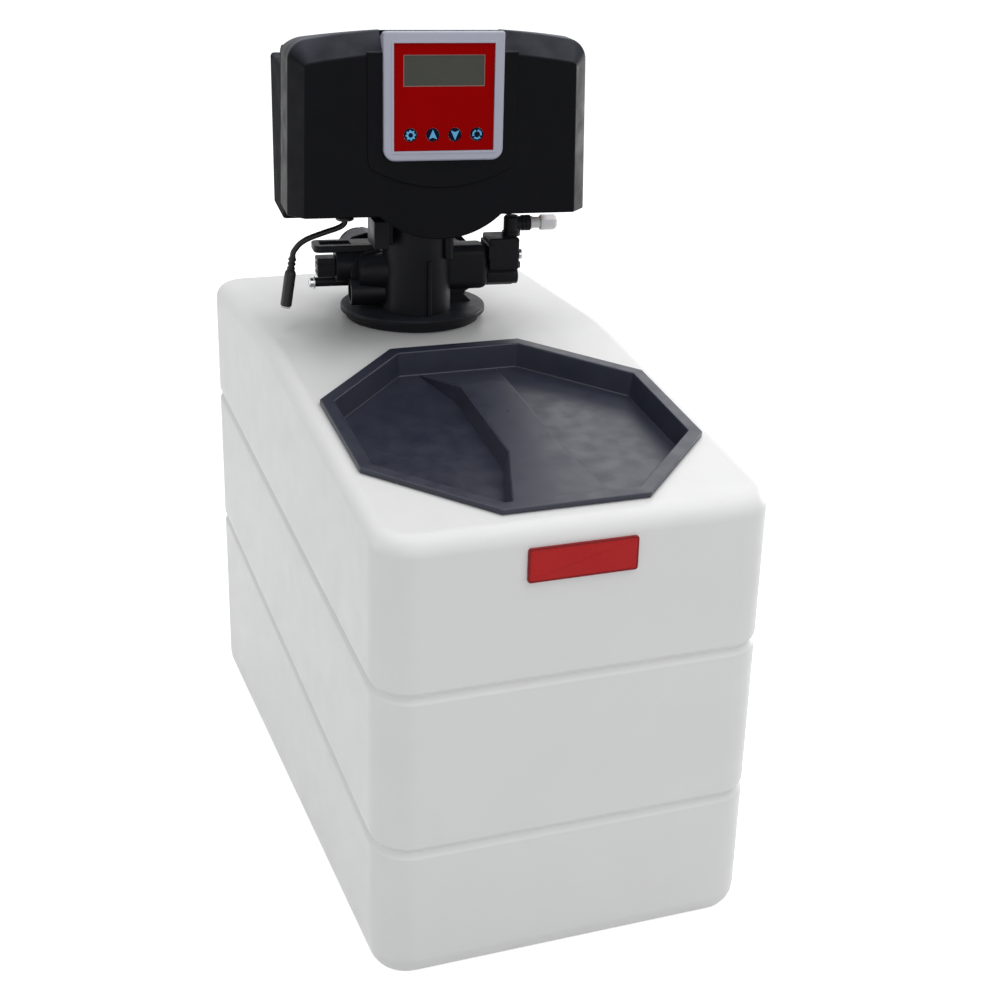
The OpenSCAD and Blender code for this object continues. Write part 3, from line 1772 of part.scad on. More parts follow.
// Pale insulating sleeve in the mouth of the jack
module jack_tip() {
    top = relief_l + jack_l;
    color([0.85, 0.85, 0.84])
        at_jack()
            difference() {
                rod_z(tip_ring_r, top - tip_depth, top + tip_out);
                rod_z(tip_bore_r, top - tip_depth + 1.5, top + tip_out + past);
            }
}

cabinet();
salt_lid();
front_badge();
overflow_elbow();
overflow_nut();
brine_well();
brine_well_cap();
air_check();
float_valve();
float_rod();
brine_float();
tank_boot();
resin_tank();
resin_bed();
lower_distributor();
riser_tube();
upper_distributor();
tank_o_ring();
riser_o_ring();
valve_body();
seal_cage();
piston_seals();
piston();
piston_rod();
bore_cap();
inlet_spigot();
outlet_spigot();
spigot_nuts();
meter_cage();
meter_turbine();
injector_block();
injector_nozzle();
injector_throat();
injector_screws();
brine_elbow();
tube_fitting();
tube_nut();
drain_nut();
port_plug();
port_clip();
clip_screw();
back_case();
gear_bracket();
drive_gear();
motor_pinion();
drive_motor();
front_cover();
cover_screws();
display_bezel();
circuit_board();
display_screen();
display_panel();
settings_key();
up_key();
down_key();
cycle_key();
lead_gland();
power_lead();
power_jack();
jack_tip();
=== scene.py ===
import bpy
import bmesh
import math
from mathutils import Matrix, Vector


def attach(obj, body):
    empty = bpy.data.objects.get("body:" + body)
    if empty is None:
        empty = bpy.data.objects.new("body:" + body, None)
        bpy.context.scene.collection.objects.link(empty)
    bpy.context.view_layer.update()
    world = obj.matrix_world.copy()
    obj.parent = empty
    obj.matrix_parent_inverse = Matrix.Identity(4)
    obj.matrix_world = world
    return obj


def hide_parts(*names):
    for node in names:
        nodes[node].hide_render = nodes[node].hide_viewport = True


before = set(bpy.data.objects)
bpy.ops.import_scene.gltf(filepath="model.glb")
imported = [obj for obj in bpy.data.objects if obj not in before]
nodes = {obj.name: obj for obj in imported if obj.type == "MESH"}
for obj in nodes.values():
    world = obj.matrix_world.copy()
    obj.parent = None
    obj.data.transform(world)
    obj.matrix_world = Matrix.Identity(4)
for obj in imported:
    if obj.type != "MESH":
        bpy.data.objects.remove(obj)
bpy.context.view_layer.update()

# The view. The camera stands to the front left of the softener, a little above the lid, and is
# tipped by a degree and a half, so that the frame holds the whole object with a narrow margin.
lens = bpy.data.cameras.new("view")
lens.lens = 59.024
lens.sensor_width = 36
camera = bpy.data.objects.new("view", lens)
bpy.context.scene.collection.objects.link(camera)
camera_place = (-0.293247, -0.838744, 0.538430)
yaw, pitch, roll = 20.9247, 21.8997, 1.4848
camera.matrix_world = (
    Matrix.Translation(camera_place)
    @ Matrix.Rotation(math.radians(-yaw), 4, "Z")
    @ Matrix.Rotation(math.radians(90 - pitch), 4, "X")
    @ Matrix.Rotation(math.radians(roll), 4, "Z")
)
bpy.context.scene.camera = camera
bpy.context.scene.view_settings.view_transform = "Standard"


# The studio. A plain pale floor under soft light: a broad panel overhead, one on the left, one on
# the right, one behind and one in front, in an even pale room. Room and floor look white to the eye.
def light_panel(name, place, aim, size, power):
    """One soft rectangular lamp that faces a point."""
    lamp = bpy.data.lights.new(name, "AREA")
    lamp.shape = "RECTANGLE"
    lamp.size, lamp.size_y = size
    lamp.energy = power
    panel = bpy.data.objects.new(name, lamp)
    bpy.context.scene.collection.objects.link(panel)
    panel.location = place
    panel.rotation_mode = "QUATERNION"
    panel.rotation_quaternion = (Vector(aim) - Vector(place)).to_track_quat("-Z", "Y")


light_panel("panel_over", (0.35, -0.2, 1.9), (0, 0, 0.2), (2.0, 2.0), 21)
light_panel("panel_left", (-1.7, 0.40, 0.28), (0, 0, 0.3), (0.45, 0.55), 3.8)
light_panel("panel_right", (1.65, 0.66, 0.30), (0, 0, 0.35), (0.5, 0.5), 9)
light_panel("panel_back", (0.9, 1.3, 1.35), (0, -0.08, 0.26), (0.9, 0.6), 3)
light_panel("panel_front", (-0.2, -2.0, 1.0), (0, 0, 0.2), (1.4, 1.0), 6.3)


def shader(tree, kind, **settings):
    """Adds a shader node; a setting is a socket's name with a low line for each space."""
    node = tree.nodes.new(kind)
    for key, value in settings.items():
        node.inputs[key.replace("_", " ")].default_value = value
    return node


def seen_directly(tree):
    """1 for the rays that show the background: straight to the eye, in a gloss or through glass."""
    ray = shader(tree, "ShaderNodeLightPath")
    first = shader(tree, "ShaderNodeMath")
    second = shader(tree, "ShaderNodeMath")
    first.operation = second.operation = "MAXIMUM"
    tree.links.new(ray.outputs["Is Camera Ray"], first.inputs[0])
    tree.links.new(ray.outputs["Is Glossy Ray"], first.inputs[1])
    tree.links.new(first.outputs[0], second.inputs[0])
    tree.links.new(ray.outputs["Is Transmission Ray"], second.inputs[1])
    return second.outputs[0]


room = bpy.data.worlds.new("room")
bpy.context.scene.world = room
room.use_nodes = True
tree = room.node_tree
tree.nodes.clear()
room_out = shader(tree, "ShaderNodeOutputWorld")
room_mix = shader(tree, "ShaderNodeMixShader")
room_fill = shader(tree, "ShaderNodeBackground", Color=(0.96, 0.98, 1.0, 1), Strength=0.44)
room_seen = shader(tree, "ShaderNodeBackground", Color=(1, 1, 1, 1), Strength=1.0)
tree.links.new(seen_directly(tree), room_mix.inputs[0])
tree.links.new(room_fill.outputs[0], room_mix.inputs[1])
tree.links.new(room_seen.outputs[0], room_mix.inputs[2])
tree.links.new(room_mix.outputs[0], room_out.inputs[0])

bpy.ops.object.select_all(action="DESELECT")
bpy.ops.mesh.primitive_plane_add(size=12)
floor = bpy.context.object
floor.name = "floor"
paper = bpy.data.materials.new("floor_paper")
paper.use_nodes = True
tree = paper.node_tree
tree.nodes.clear()
paper_out = shader(tree, "ShaderNodeOutputMaterial")
paper_sum = shader(tree, "ShaderNodeAddShader")
paper_lit = shader(tree, "ShaderNodeBsdfDiffuse", Color=(0.62, 0.62, 0.62, 1))
paper_glow = shader(tree, "ShaderNodeEmission", Color=(0.84, 0.84, 0.84, 1))
tree.links.new(seen_directly(tree), paper_glow.inputs["Strength"])
tree.links.new(paper_lit.outputs[0], paper_sum.inputs[0])
tree.links.new(paper_glow.outputs[0], paper_sum.inputs[1])
tree.links.new(paper_sum.outputs[0], paper_out.inputs[0])
floor.data.materials.append(paper)

# The cabinet. One thick-walled polyethylene shell, white and satin, moulded with round edges and two
# grooves that run all round and rise to the back. The mouth and the tank hole are cut out of it.
mm = 0.001
cabinet_half, cabinet_front, cabinet_back, deck_height = 103, -190, 190, 274
bend_y, front_height = 31, 242.94
groove_rise = math.radians(6.2)
slope_place = (
    Matrix.Translation((0, bend_y * mm, deck_height * mm))
    @ Matrix.Rotation(math.radians(8), 4, "X")
    @ Matrix.Translation((0, -0.1165, 0))
)


def take(piece):
    """Selects one piece alone, in object mode."""
    if bpy.context.object and bpy.context.object.mode == "EDIT":
        bpy.ops.object.mode_set(mode="OBJECT")
    bpy.ops.object.select_all(action="DESELECT")
    piece.select_set(True)
    bpy.context.view_layer.objects.active = piece


def add(name, primitive, **settings):
    """Adds a primitive with nothing else selected, names it and keeps its place in its mesh."""
    if bpy.context.object and bpy.context.object.mode == "EDIT":
        bpy.ops.object.mode_set(mode="OBJECT")
    bpy.ops.object.select_all(action="DESELECT")
    primitive(**settings)
    piece = bpy.context.object
    piece.name = piece.data.name = name
    bpy.ops.object.transform_apply(location=True, rotation=True, scale=True)
    return piece


def box(name, low, high):
    """A box between two corners in millimetres."""
    middle = [(a + b) / 2 * mm for a, b in zip(low, high)]
    sides = [(b - a) * mm for a, b in zip(low, high)]
    return add(name, bpy.ops.mesh.primitive_cube_add, size=1, location=middle, scale=sides)


def rod(name, radius, low, high, axis="Z", at=(0, 0), sides=64, turn=0.0):
    """A round or many-sided bar along one axis; at gives its place on the two other axes."""
    middle = (low + high) / 2
    place = {"X": (middle, *at), "Y": (at[0], middle, at[1]), "Z": (*at, middle)}[axis]
    stance = {"X": (0, math.pi / 2, 0), "Y": (math.pi / 2, 0, 0), "Z": (0, 0, turn)}[axis]
    return add(
        name,
        bpy.ops.mesh.primitive_cylinder_add,
        vertices=sides,
        radius=radius * mm,
        depth=(high - low) * mm,
        location=[c * mm for c in place],
        rotation=stance,
    )


def pick(piece, kind, test=None):
    """In edit mode, selects the faces, edges or corners that pass a test, or all of them."""
    if bpy.context.object != piece or piece.mode != "EDIT":
        take(piece)
        bpy.ops.object.mode_set(mode="EDIT")
    bpy.ops.mesh.select_mode(type=kind)
    bpy.ops.mesh.select_all(action="DESELECT")
    shape = bmesh.from_edit_mesh(piece.data)
    shape.normal_update()
    for item in {"FACE": shape.faces, "EDGE": shape.edges, "VERT": shape.verts}[kind]:
        if test is None or test(item):
            item.select_set(True)
    shape.select_flush_mode()
    bmesh.update_edit_mesh(piece.data)


def modify(piece, kind, **settings):
    """Adds a modifier and applies it."""
    take(piece)
    modifier = piece.modifiers.new(kind.lower(), kind)
    for key, value in settings.items():
        setattr(modifier, key, value)
    bpy.ops.object.modifier_apply(modifier=modifier.name)


def combine(piece, tool, how, folded=False):
    """Joins a second form to a piece, or cuts it out, and removes the second form."""
    modify(piece, "BOOLEAN", object=tool, operation=how, solver="EXACT", use_self=folded)
    bpy.data.objects.remove(tool)


def lay(piece, place):
    """Moves a piece from the frame that it was made in to its seat, into its mesh."""
    take(piece)
    piece.matrix_world = place
    bpy.ops.object.transform_apply(location=True, rotation=True, scale=True)


def sharp(edge, angle=35):
    """Whether the two faces at an edge turn by more than an angle."""
    return len(edge.link_faces) == 2 and edge.calc_face_angle(0) > math.radians(angle)


def merge(piece, gap=0.12):
    """Joins the corners that a cut or an inset has left almost on top of each other."""
    pick(piece, "VERT")
    bpy.ops.mesh.remove_doubles(threshold=gap * mm)


def runs_along(edge, axis):
    """Whether an edge runs along an axis, given by its number."""
    return abs(edge.verts[0].co[axis] - edge.verts[1].co[axis]) > mm


def bevel(width, segments):
    """Rounds the edges that are selected."""
    bpy.ops.mesh.bevel(offset=width * mm, segments=segments, affect="EDGES")


def extrude(rise):
    """Draws what is selected out along Z."""
    bpy.ops.mesh.extrude_region_move(TRANSFORM_OT_translate={"value": (0, 0, rise * mm)})


def face_out(piece):
    """Turns all the faces of a piece outwards."""
    pick(piece, "FACE")
    bpy.ops.mesh.normals_make_consistent(inside=False)


def soften(piece, width, segments=3, angle=35):
    """Rounds all the sharp edges of a piece."""
    pick(piece, "EDGE", lambda edge: sharp(edge, angle))
    bevel(width, segments)
    bpy.ops.object.mode_set(mode="OBJECT")


def smooth(piece, angle=35):
    """Shades the round stretches smooth and keeps the flat faces flat."""
    take(piece)
    bpy.ops.object.shade_smooth_by_angle(angle=math.radians(angle))
    modify(piece, "WEIGHTED_NORMAL", keep_sharp=True)


def hand_over(piece, body, slot, material, *stands_for):
    """Gives a finished piece its material, the body it rides on and the nodes it stands for."""
    if material:
        piece.data.materials.clear()
        piece.data.materials.append(material)
    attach(piece, body)
    if stands_for:
        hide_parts(*stands_for)


def surface(material):
    """The node tree of a material, its shader and the place on the piece."""
    material.use_nodes = True
    tree = material.node_tree
    place = shader(tree, "ShaderNodeTexCoord").outputs["Object"]
    return tree, tree.nodes["Principled BSDF"], place


def tint(ramp, colour, dark, light):
    """Lets a ramp run from a darker to a lighter share of a colour."""
    for stop, place_on, share in zip(ramp.color_ramp.elements, (0.3, 0.7), (dark, light)):
        stop.position = place_on
        stop.color = (*[min(1, c * share) for c in colour], 1)


def stand_out(tree, skin, pattern, strength, depth, invert=False):
    """Lets a pattern stand out of a surface, by a depth in millimetres."""
    bump = shader(tree, "ShaderNodeBump", Strength=strength, Distance=depth * mm)
    bump.invert = invert
    tree.links.new(pattern, bump.inputs["Height"])
    tree.links.new(bump.outputs["Normal"], skin.inputs["Normal"])


def moulded(name, colour, rough, shine, grain, relief, drift):
    """Moulded plastic: a colour that drifts a little, a fine grain and an uneven gloss."""
    material = bpy.data.materials.new(name)
    tree, skin, place = surface(material)
    skin.inputs["Specular IOR Level"].default_value = shine
    cloud = shader(tree, "ShaderNodeTexNoise", Scale=24, Detail=5)
    pits = shader(tree, "ShaderNodeTexNoise", Scale=grain, Detail=3)
    rub = shader(tree, "ShaderNodeTexNoise", Scale=90, Detail=6)
    shade = shader(tree, "ShaderNodeValToRGB")
    tint(shade, colour, 1 - drift, 1 + drift)
    gloss = shader(
        tree, "ShaderNodeMapRange", From_Min=0.3, From_Max=0.7, To_Min=rough - 0.07, To_Max=rough + 0.07,
    )
    for pattern in (cloud, pits, rub):
        tree.links.new(place, pattern.inputs["Vector"])
    tree.links.new(cloud.outputs["Fac"], shade.inputs["Fac"])
    tree.links.new(shade.outputs["Color"], skin.inputs["Base Color"])
    tree.links.new(rub.outputs["Fac"], gloss.inputs["Value"])
    tree.links.new(gloss.outputs["Result"], skin.inputs["Roughness"])
    stand_out(tree, skin, pits.outputs["Fac"], 0.6, relief)
    return material


cabinet = box("cabinet_shell", (-cabinet_half, cabinet_front, 0), (cabinet_half, cabinet_back, deck_height))
pick(cabinet, "FACE")
bpy.ops.mesh.bisect(plane_co=(0, bend_y * mm, 0), plane_no=(0, 1, 0))
pick(cabinet, "VERT", lambda corner: corner.co.y < -0.18 and corner.co.z > 0.2)
bpy.ops.transform.translate(value=(0, 0, (front_height - deck_height) * mm))
pick(cabinet, "EDGE", lambda edge: all(abs(c.co.y) > 0.18 for c in edge.verts)
     and abs(edge.verts[0].co.z - edge.verts[1].co.z) > 0.1)
bevel(20, 9)
pick(cabinet, "EDGE", lambda edge: all(
    abs(c.co.y - bend_y * mm) < 1e-5 and c.co.z > 0.27 for c in edge.verts))
bevel(16, 4)
pick(cabinet, "EDGE", lambda edge: sharp(edge, 50) and min(c.co.z for c in edge.verts) > 0.2)
bevel(9, 6)
pick(cabinet, "EDGE", lambda edge: sharp(edge, 50) and max(c.co.z for c in edge.verts) < 0.001)
bevel(14, 6)

groove_way = Vector((0, -math.sin(groove_rise), math.cos(groove_rise)))
for groove_height in (162, 76):
    groove_place = Vector((0, cabinet_front * mm, groove_height * mm))
    for step in (-3.6, -2.4, -1.2, 0, 1.2, 2.4, 3.6):
        pick(cabinet, "FACE")
        bpy.ops.mesh.bisect(plane_co=groove_place + groove_way * step * mm, plane_no=groove_way)
    pick(cabinet, "VERT", lambda corner: abs((corner.co - groove_place).dot(groove_way)) < 1e-5)
    bpy.ops.transform.shrink_fatten(
        value=-2.5 * mm,
        use_proportional_edit=True,
        proportional_edit_falloff="SMOOTH",
        proportional_size=3.6 * mm,
    )
modify(cabinet, "SOLIDIFY", thickness=5 * mm, offset=-1, use_even_offset=True)
mouth = rod("mouth", 88.8 / math.cos(math.pi / 8), -60, 30, sides=8, turn=math.pi / 8)
lay(mouth, slope_place)
combine(cabinet, mouth, "DIFFERENCE", True)
combine(cabinet, rod("neck_hole", 37.5, 250, 300, at=(-5, 70), sides=96), "DIFFERENCE", True)
combine(cabinet, rod("overflow_hole", 8.1, 170, 210, "Y", at=(62, 214), sides=48), "DIFFERENCE", True)
smooth(cabinet, 30)
white_shell = moulded("white_polyethylene", (0.81, 0.806, 0.80), 0.44, 0.42, 900, 0.02, 0.012)
hand_over(cabinet, "cabinet", "shell_white", white_shell, "cabinet")

# The label plate. A thin domed plate in glossy red with a darker raised border, glued to the front
# of the cabinet and left bare.
badge_low, badge_high = (-30.6, -191.6, 215.65), (26.0, -190, 233.15)
border = 0.7
badge = box("label_plate", badge_low, badge_high)
pick(badge, "EDGE", lambda edge: runs_along(edge, 1))
bevel(1.5, 6)
pick(badge, "EDGE", lambda edge: all(c.co.y < -0.1915 for c in edge.verts))
bevel(0.3, 2)
pick(badge, "FACE", lambda face: face.normal.y < -0.99)
bpy.ops.mesh.inset(thickness=0.55 * mm)
bpy.ops.mesh.inset(thickness=0.2 * mm, depth=-0.15 * mm)
bpy.ops.mesh.inset(thickness=0.5 * mm, depth=0.1 * mm)
bpy.ops.object.mode_set(mode="OBJECT")
label_red = moulded("label_red", (0.48, 0.012, 0.013), 0.24, 0.14, 1500, 0.004, 0.05)
label_edge = moulded("label_edge_red", (0.24, 0.008, 0.010), 0.26, 0.14, 1500, 0.004, 0.05)
hand_over(badge, "cabinet", "badge_red", label_red, "front_badge")
badge.data.materials.append(label_edge)
badge.active_material_index = 1
pick(badge, "FACE", lambda face: face.normal.y > -0.9 or any(
    c.co[axis] < (badge_low[axis] + border) * mm or c.co[axis] > (badge_high[axis] - border) * mm
    for c in face.verts for axis in (0, 2)))
bpy.ops.object.material_slot_assign()
bpy.ops.object.mode_set(mode="OBJECT")
smooth(badge, 40)

# The overflow. A pale moulded elbow through the back wall with its flange outside, its nut inside and
# a barb, turned down, for a drain hose. Its own shape is right, so only its surface is finished here.
pale_plastic = moulded("pale_polypropylene", (0.60, 0.60, 0.56), 0.40, 0.40, 1300, 0.02, 0.05)


def finish_nodes(material, *names):
    """Gives the frame's own pieces a finished surface."""
    for name in names:
        for slot in nodes[name].material_slots:
            slot.material = material


finish_nodes(pale_plastic, "overflow_elbow", "overflow_nut")

# The tank. A blue pressure vessel wound from glass fibre, in a black moulded boot, with its bed of
# amber resin beads, its riser tube and its two slotted distributors.
fibre = moulded("wound_fibre", (0.055, 0.15, 0.30), 0.26, 0.5, 700, 0.01, 0.10)
tree, skin, place = surface(fibre)
crossing = shader(tree, "ShaderNodeMath")
crossing.operation = "MAXIMUM"
for socket, lean in zip(crossing.inputs, (0.42, -0.42)):
    turned_place = shader(tree, "ShaderNodeMapping", Rotation=(0, lean, 0))
    bands = shader(tree, "ShaderNodeTexWave", Scale=95, Distortion=0.8, Detail=3)
    bands.bands_direction = "Z"
    tree.links.new(place, turned_place.inputs["Vector"])
    tree.links.new(turned_place.outputs["Vector"], bands.inputs["Vector"])
    tree.links.new(bands.outputs["Fac"], socket)
stand_out(tree, skin, crossing.outputs[0], 0.5, 0.12)
finish_nodes(fibre, "resin_tank")

boot_black = moulded("boot_black", (0.012, 0.012, 0.013), 0.55, 0.2, 900, 0.04, 0.14)
finish_nodes(boot_black, "tank_boot")

beads = moulded("resin_beads", (0.52, 0.26, 0.055), 0.30, 0.5, 900, 0.02, 0.10)
tree, skin, place = surface(beads)
packing = shader(tree, "ShaderNodeTexVoronoi", Scale=1250)
tree.links.new(place, packing.inputs["Vector"])
stand_out(tree, skin, packing.outputs["Distance"], 0.9, 0.35, True)
finish_nodes(beads, "resin_bed")
finish_nodes(pale_plastic, "lower_distributor", "riser_tube", "upper_distributor")

seal_rubber = moulded("seal_rubber", (0.012, 0.012, 0.012), 0.62, 0.25, 2400, 0.015, 0.15)
finish_nodes(seal_rubber, "tank_o_ring", "riser_o_ring")

# The brine side. A pale slotted tube stands on the cabinet's floor under a black cap; in it are the
# air check, the black float valve and the float on its rod.
finish_nodes(pale_plastic, "brine_well", "air_check", "float_rod")
float_foam = moulded("float_shell", (0.66, 0.66, 0.62), 0.55, 0.3, 500, 0.06, 0.04)
finish_nodes(float_foam, "brine_float")
cap_black = moulded("cap_black", (0.013, 0.013, 0.014), 0.46, 0.25, 1200, 0.03, 0.14)
finish_nodes(cap_black, "brine_well_cap", "float_valve")

# The salt lid. A loose tray of navy-black plastic that hangs in the octagonal mouth by its rim; a
# hollow grip bar, moulded in one with the tray, crosses it from back to front.
lid = rod("lid_tray", 92.5 / math.cos(math.pi / 8), 0.3, 3.3, sides=8, turn=math.pi / 8)
pick(lid, "FACE", lambda face: face.normal.z > 0.9)
bpy.ops.mesh.inset(thickness=7 * mm)
extrude(-14)
bpy.ops.transform.resize(value=(0.985, 0.985, 1), center_override=(0, 0, 0))
pick(lid, "FACE", lambda face: face.normal.z < -0.9)
bpy.ops.mesh.inset(thickness=5 * mm)
extrude(-13)
bpy.ops.transform.resize(value=(0.985, 0.985, 1), center_override=(0, 0, 0))
soften(lid, 0.7, 3, 20)
bar = add("grip_bar", bpy.ops.mesh.primitive_grid_add, x_subdivisions=1, y_subdivisions=3, size=1)
bar_rows = (
    (84.6, -23.0, 22.8, -10.9), (45.5, -12.0, 16.0, -0.3),
    (-30.5, -12.6, 16.2, -0.3), (-85.6, -30.2, 23.2, -1.3),
)
pick(bar, "VERT")
bar_shape = bmesh.from_edit_mesh(bar.data)
bar_corners = sorted(bar_shape.verts, key=lambda corner: (-corner.co.y, corner.co.x))
for row, (along, left, right, top) in enumerate(bar_rows):
    for corner, across in zip(bar_corners[2 * row:2 * row + 2], (left, right)):
        corner.co = (across * mm, along * mm, top * mm)
bmesh.update_edit_mesh(bar.data)
extrude(0)
bpy.ops.transform.resize(value=(1.12, 1, 0), center_override=(0.002, 0, -11.4 * mm))
face_out(bar)
soften(bar, 0.7, 3, 12)
combine(lid, bar, "UNION")
combine(lid, rod("gate_mark", 0.7, -0.6, 1, at=(2.7, 11.5), sides=24), "DIFFERENCE")
smooth(lid, 30)
lay(lid, slope_place)
lid_black = moulded("lid_navy_black", (0.021, 0.024, 0.041), 0.42, 0.50, 1400, 0.006, 0.04)
hand_over(lid, "lid", "lid_black", lid_black, "salt_lid")

# The valve body. One black glass-filled moulding: a stepped flange on the deck, the upright piston
# housing, the bosses of the rear ports, the arms at the sides and the ribs between them.
valve_place = Matrix.Translation((-5 * mm, 70 * mm, 0)) @ Matrix.Rotation(math.radians(-7), 4, "Z")
port_across, port_level, housing_y, arm_y = 24, 302, -12, -10
# Grey tint of the painted sheen that lightens the upward faces of the black parts.
top_sheen_grey = (0.20, 0.21, 0.26)


def paint_top_sheen(material, colour, most):
    """Paints a lighter, uneven grey sheen onto the faces of a material that look up: a painted highlight of
    the light from above.
    """
    tree, skin, place = surface(material)
    bare = skin.inputs["Base Color"].links[0].from_socket
    normal = shader(tree, "ShaderNodeNewGeometry").outputs["Normal"]
    facing = shader(tree, "ShaderNodeSeparateXYZ")
    lying = shader(tree, "ShaderNodeMapRange", From_Min=0.25, From_Max=0.95, To_Max=most)
    drifts = shader(tree, "ShaderNodeTexNoise", Scale=60, Detail=8)
    share = shader(tree, "ShaderNodeMath")
    share.operation = "MULTIPLY"
    sheen_mix = shader(tree, "ShaderNodeMix")
    sheen_mix.data_type = "RGBA"
    sheen_mix.inputs["B"].default_value = (*colour, 1)
    tree.links.new(normal, facing.inputs[0])
    tree.links.new(place, drifts.inputs["Vector"])
    tree.links.new(facing.outputs["Z"], lying.inputs["Value"])
    tree.links.new(lying.outputs["Result"], share.inputs[0])
    tree.links.new(drifts.outputs["Fac"], share.inputs[1])
    tree.links.new(share.outputs[0], sheen_mix.inputs["Factor"])
    tree.links.new(bare, sheen_mix.inputs["A"])
    tree.links.new(sheen_mix.outputs["Result"], skin.inputs["Base Color"])


def soft_box(name, low, high, width=0.6, segments=3):
    """A box with rounded edges."""
    piece = box(name, low, high)
    soften(piece, width, segments)
    return piece


def soft_rod(name, radius, low, high, axis="Z", at=(0, 0), sides=64, width=0.5, turn=0.0):
    """A bar with rounded ends."""
    piece = rod(name, radius, low, high, axis, at, sides, turn)
    soften(piece, width, 3, 60 if sides < 9 else 35)
    return piece


valve = soft_rod("valve_casting", 39.3, 274, 279, sides=128)
for form in (
    soft_rod("flange", 42.9, 278, 281.7, sides=128, width=0.9),
    soft_rod("housing", 20, 280.7, 338, at=(0, housing_y), sides=96),
    soft_rod("left_port", 14.1, -8, 34, "Y", (-port_across, port_level)),
    soft_rod("right_port", 14.1, -8, 34, "Y", (port_across, port_level)),
    soft_box("bridge", (-24, -4, 292), (24, 14, 312)),
    soft_box("web", (-32, 0, 280), (32, 16, 294)),
    soft_box("right_arm", (14, -20, 293), (42, 0, 319), 5.0, 6),
    soft_rod("left_boss", 9.5, -46, -10, "X", (2, 305)),
    soft_rod("stud", 2.8, -57.5, -24, "X", (6, 294.5), 32),
    soft_rod("socket", 7.6, -39, -10, "X", (-10, 291.8), 48),
    soft_box("lug", (-28.3, -34, 322), (-19.8, -10, 338)),
    soft_box("lug_web", (-21.8, -24, 322), (-8, -12, 338)),
    soft_box("front_rib", (3, -34, 280.7), (5, -12, 314), 0.5),
    soft_rod("upright", 3, 314, 338, at=(16, -26), sides=32),
):
    combine(valve, form, "UNION")
cone = add(
    "side_cone", bpy.ops.mesh.primitive_cone_add, vertices=48, radius1=9 * mm, radius2=12 * mm, depth=22 * mm,
    location=(-23 * mm, -10 * mm, 304 * mm), rotation=(0, math.pi / 2, 0),
)
combine(valve, cone, "UNION")
gusset = box("gusset", (17, -1.5, 280.7), (37.9, 1.5, 300))
pick(gusset, "FACE")
bpy.ops.mesh.bisect(
    plane_co=(17 * mm, 0, 300 * mm), plane_no=(19.3, 0, 20.9), use_fill=True, clear_outer=True,
)
soften(gusset, 0.4)
combine(valve, gusset, "UNION")
combine(valve, rod("socket_bore", 5.2, -45, -24, "X", (-10, 291.8), 48), "DIFFERENCE")
combine(valve, rod("piston_bore", 14, 291, 345, at=(0, housing_y)), "DIFFERENCE")
combine(valve, rod("riser_bore", 13.5, 270, 287), "DIFFERENCE")
combine(valve, rod("left_water_way", 10, 8, 40, "Y", (-port_across, port_level)), "DIFFERENCE")
combine(valve, rod("right_water_way", 10, 8, 40, "Y", (port_across, port_level)), "DIFFERENCE")
smooth(valve, 32)
lay(valve, valve_place)
valve_black = moulded("valve_black", (0.0070, 0.0072, 0.0092), 0.42, 0.12, 1100, 0.03, 0.14)
# Painted highlight: the faces of the valve that look up get a lighter grey sheen.
paint_top_sheen(valve_black, top_sheen_grey, 0.3)
hand_over(valve, "cabinet", "black_plastic", valve_black, "valve_body")

# The piston stack. A steel rod and a black piston run through a pale cage of rubber seals in the upright
# housing, under a screwed bore cap; the water meter's turbine sits in the outlet port.
def metal(name, colour, rough, lines):
    """Bright metal with fine tool lines, uneven in tone and gloss."""
    material = bpy.data.materials.new(name)
    tree, skin, place = surface(material)
    skin.inputs["Metallic"].default_value = 1
    tarnish = shader(tree, "ShaderNodeTexNoise", Scale=160, Detail=6)
    tone = shader(tree, "ShaderNodeValToRGB")
    tint(tone, colour, 0.82, 1.08)
    tool = shader(tree, "ShaderNodeTexWave", Scale=lines, Distortion=1.5, Detail=4)
    tool.bands_direction = "DIAGONAL"
    gloss = shader(tree, "ShaderNodeMapRange", To_Min=rough - 0.06, To_Max=rough + 0.10)
    for pattern in (tarnish, tool):
        tree.links.new(place, pattern.inputs["Vector"])
    tree.links.new(tarnish.outputs["Fac"], tone.inputs["Fac"])
    tree.links.new(tone.outputs["Color"], skin.inputs["Base Color"])
    tree.links.new(tarnish.outputs["Fac"], gloss.inputs["Value"])
    tree.links.new(gloss.outputs["Result"], skin.inputs["Roughness"])
    stand_out(tree, skin, tool.outputs["Fac"], 0.35, 0.01)
    return material


bright_steel = metal("bright_steel", (0.68, 0.69, 0.71), 0.24, 900)
finish_nodes(bright_steel, "piston_rod")
finish_nodes(valve_black, "piston", "bore_cap")
finish_nodes(pale_plastic, "seal_cage", "meter_cage")
finish_nodes(seal_rubber, "piston_seals")
turbine_blue = moulded("turbine_blue", (0.035, 0.10, 0.32), 0.34, 0.4, 1600, 0.01, 0.08)
finish_nodes(turbine_blue, "meter_turbine")

# The water ports. Two black threaded spigots at the back, each sealed on its collar and held against
# its boss by a twelve-sided union nut. One of each is turned and copied.
axis_turn = {
    "+X": Matrix.Rotation(math.pi / 2, 4, "Y"),
    "-X": Matrix.Rotation(-math.pi / 2, 4, "Y"),
    "+Y": Matrix.Rotation(-math.pi / 2, 4, "X"),
    "+Z": Matrix.Identity(4),
}


def turned(name, stations, sides=64):
    """A round piece on the Z axis through its stations, each a height and a radius, closed at both ends."""
    height, radius = stations[0]
    piece = add(
        name, bpy.ops.mesh.primitive_circle_add, vertices=sides, radius=radius * mm, fill_type="NGON",
        location=(0, 0, height * mm),
    )
    pick(piece, "FACE")
    for next_height, next_radius in stations[1:]:
        extrude(next_height - height)
        growth = next_radius / radius
        bpy.ops.transform.resize(value=(growth, growth, 1), center_override=(0, 0, 0))
        height, radius = next_height, next_radius
    face_out(piece)
    bpy.ops.object.mode_set(mode="OBJECT")
    return piece


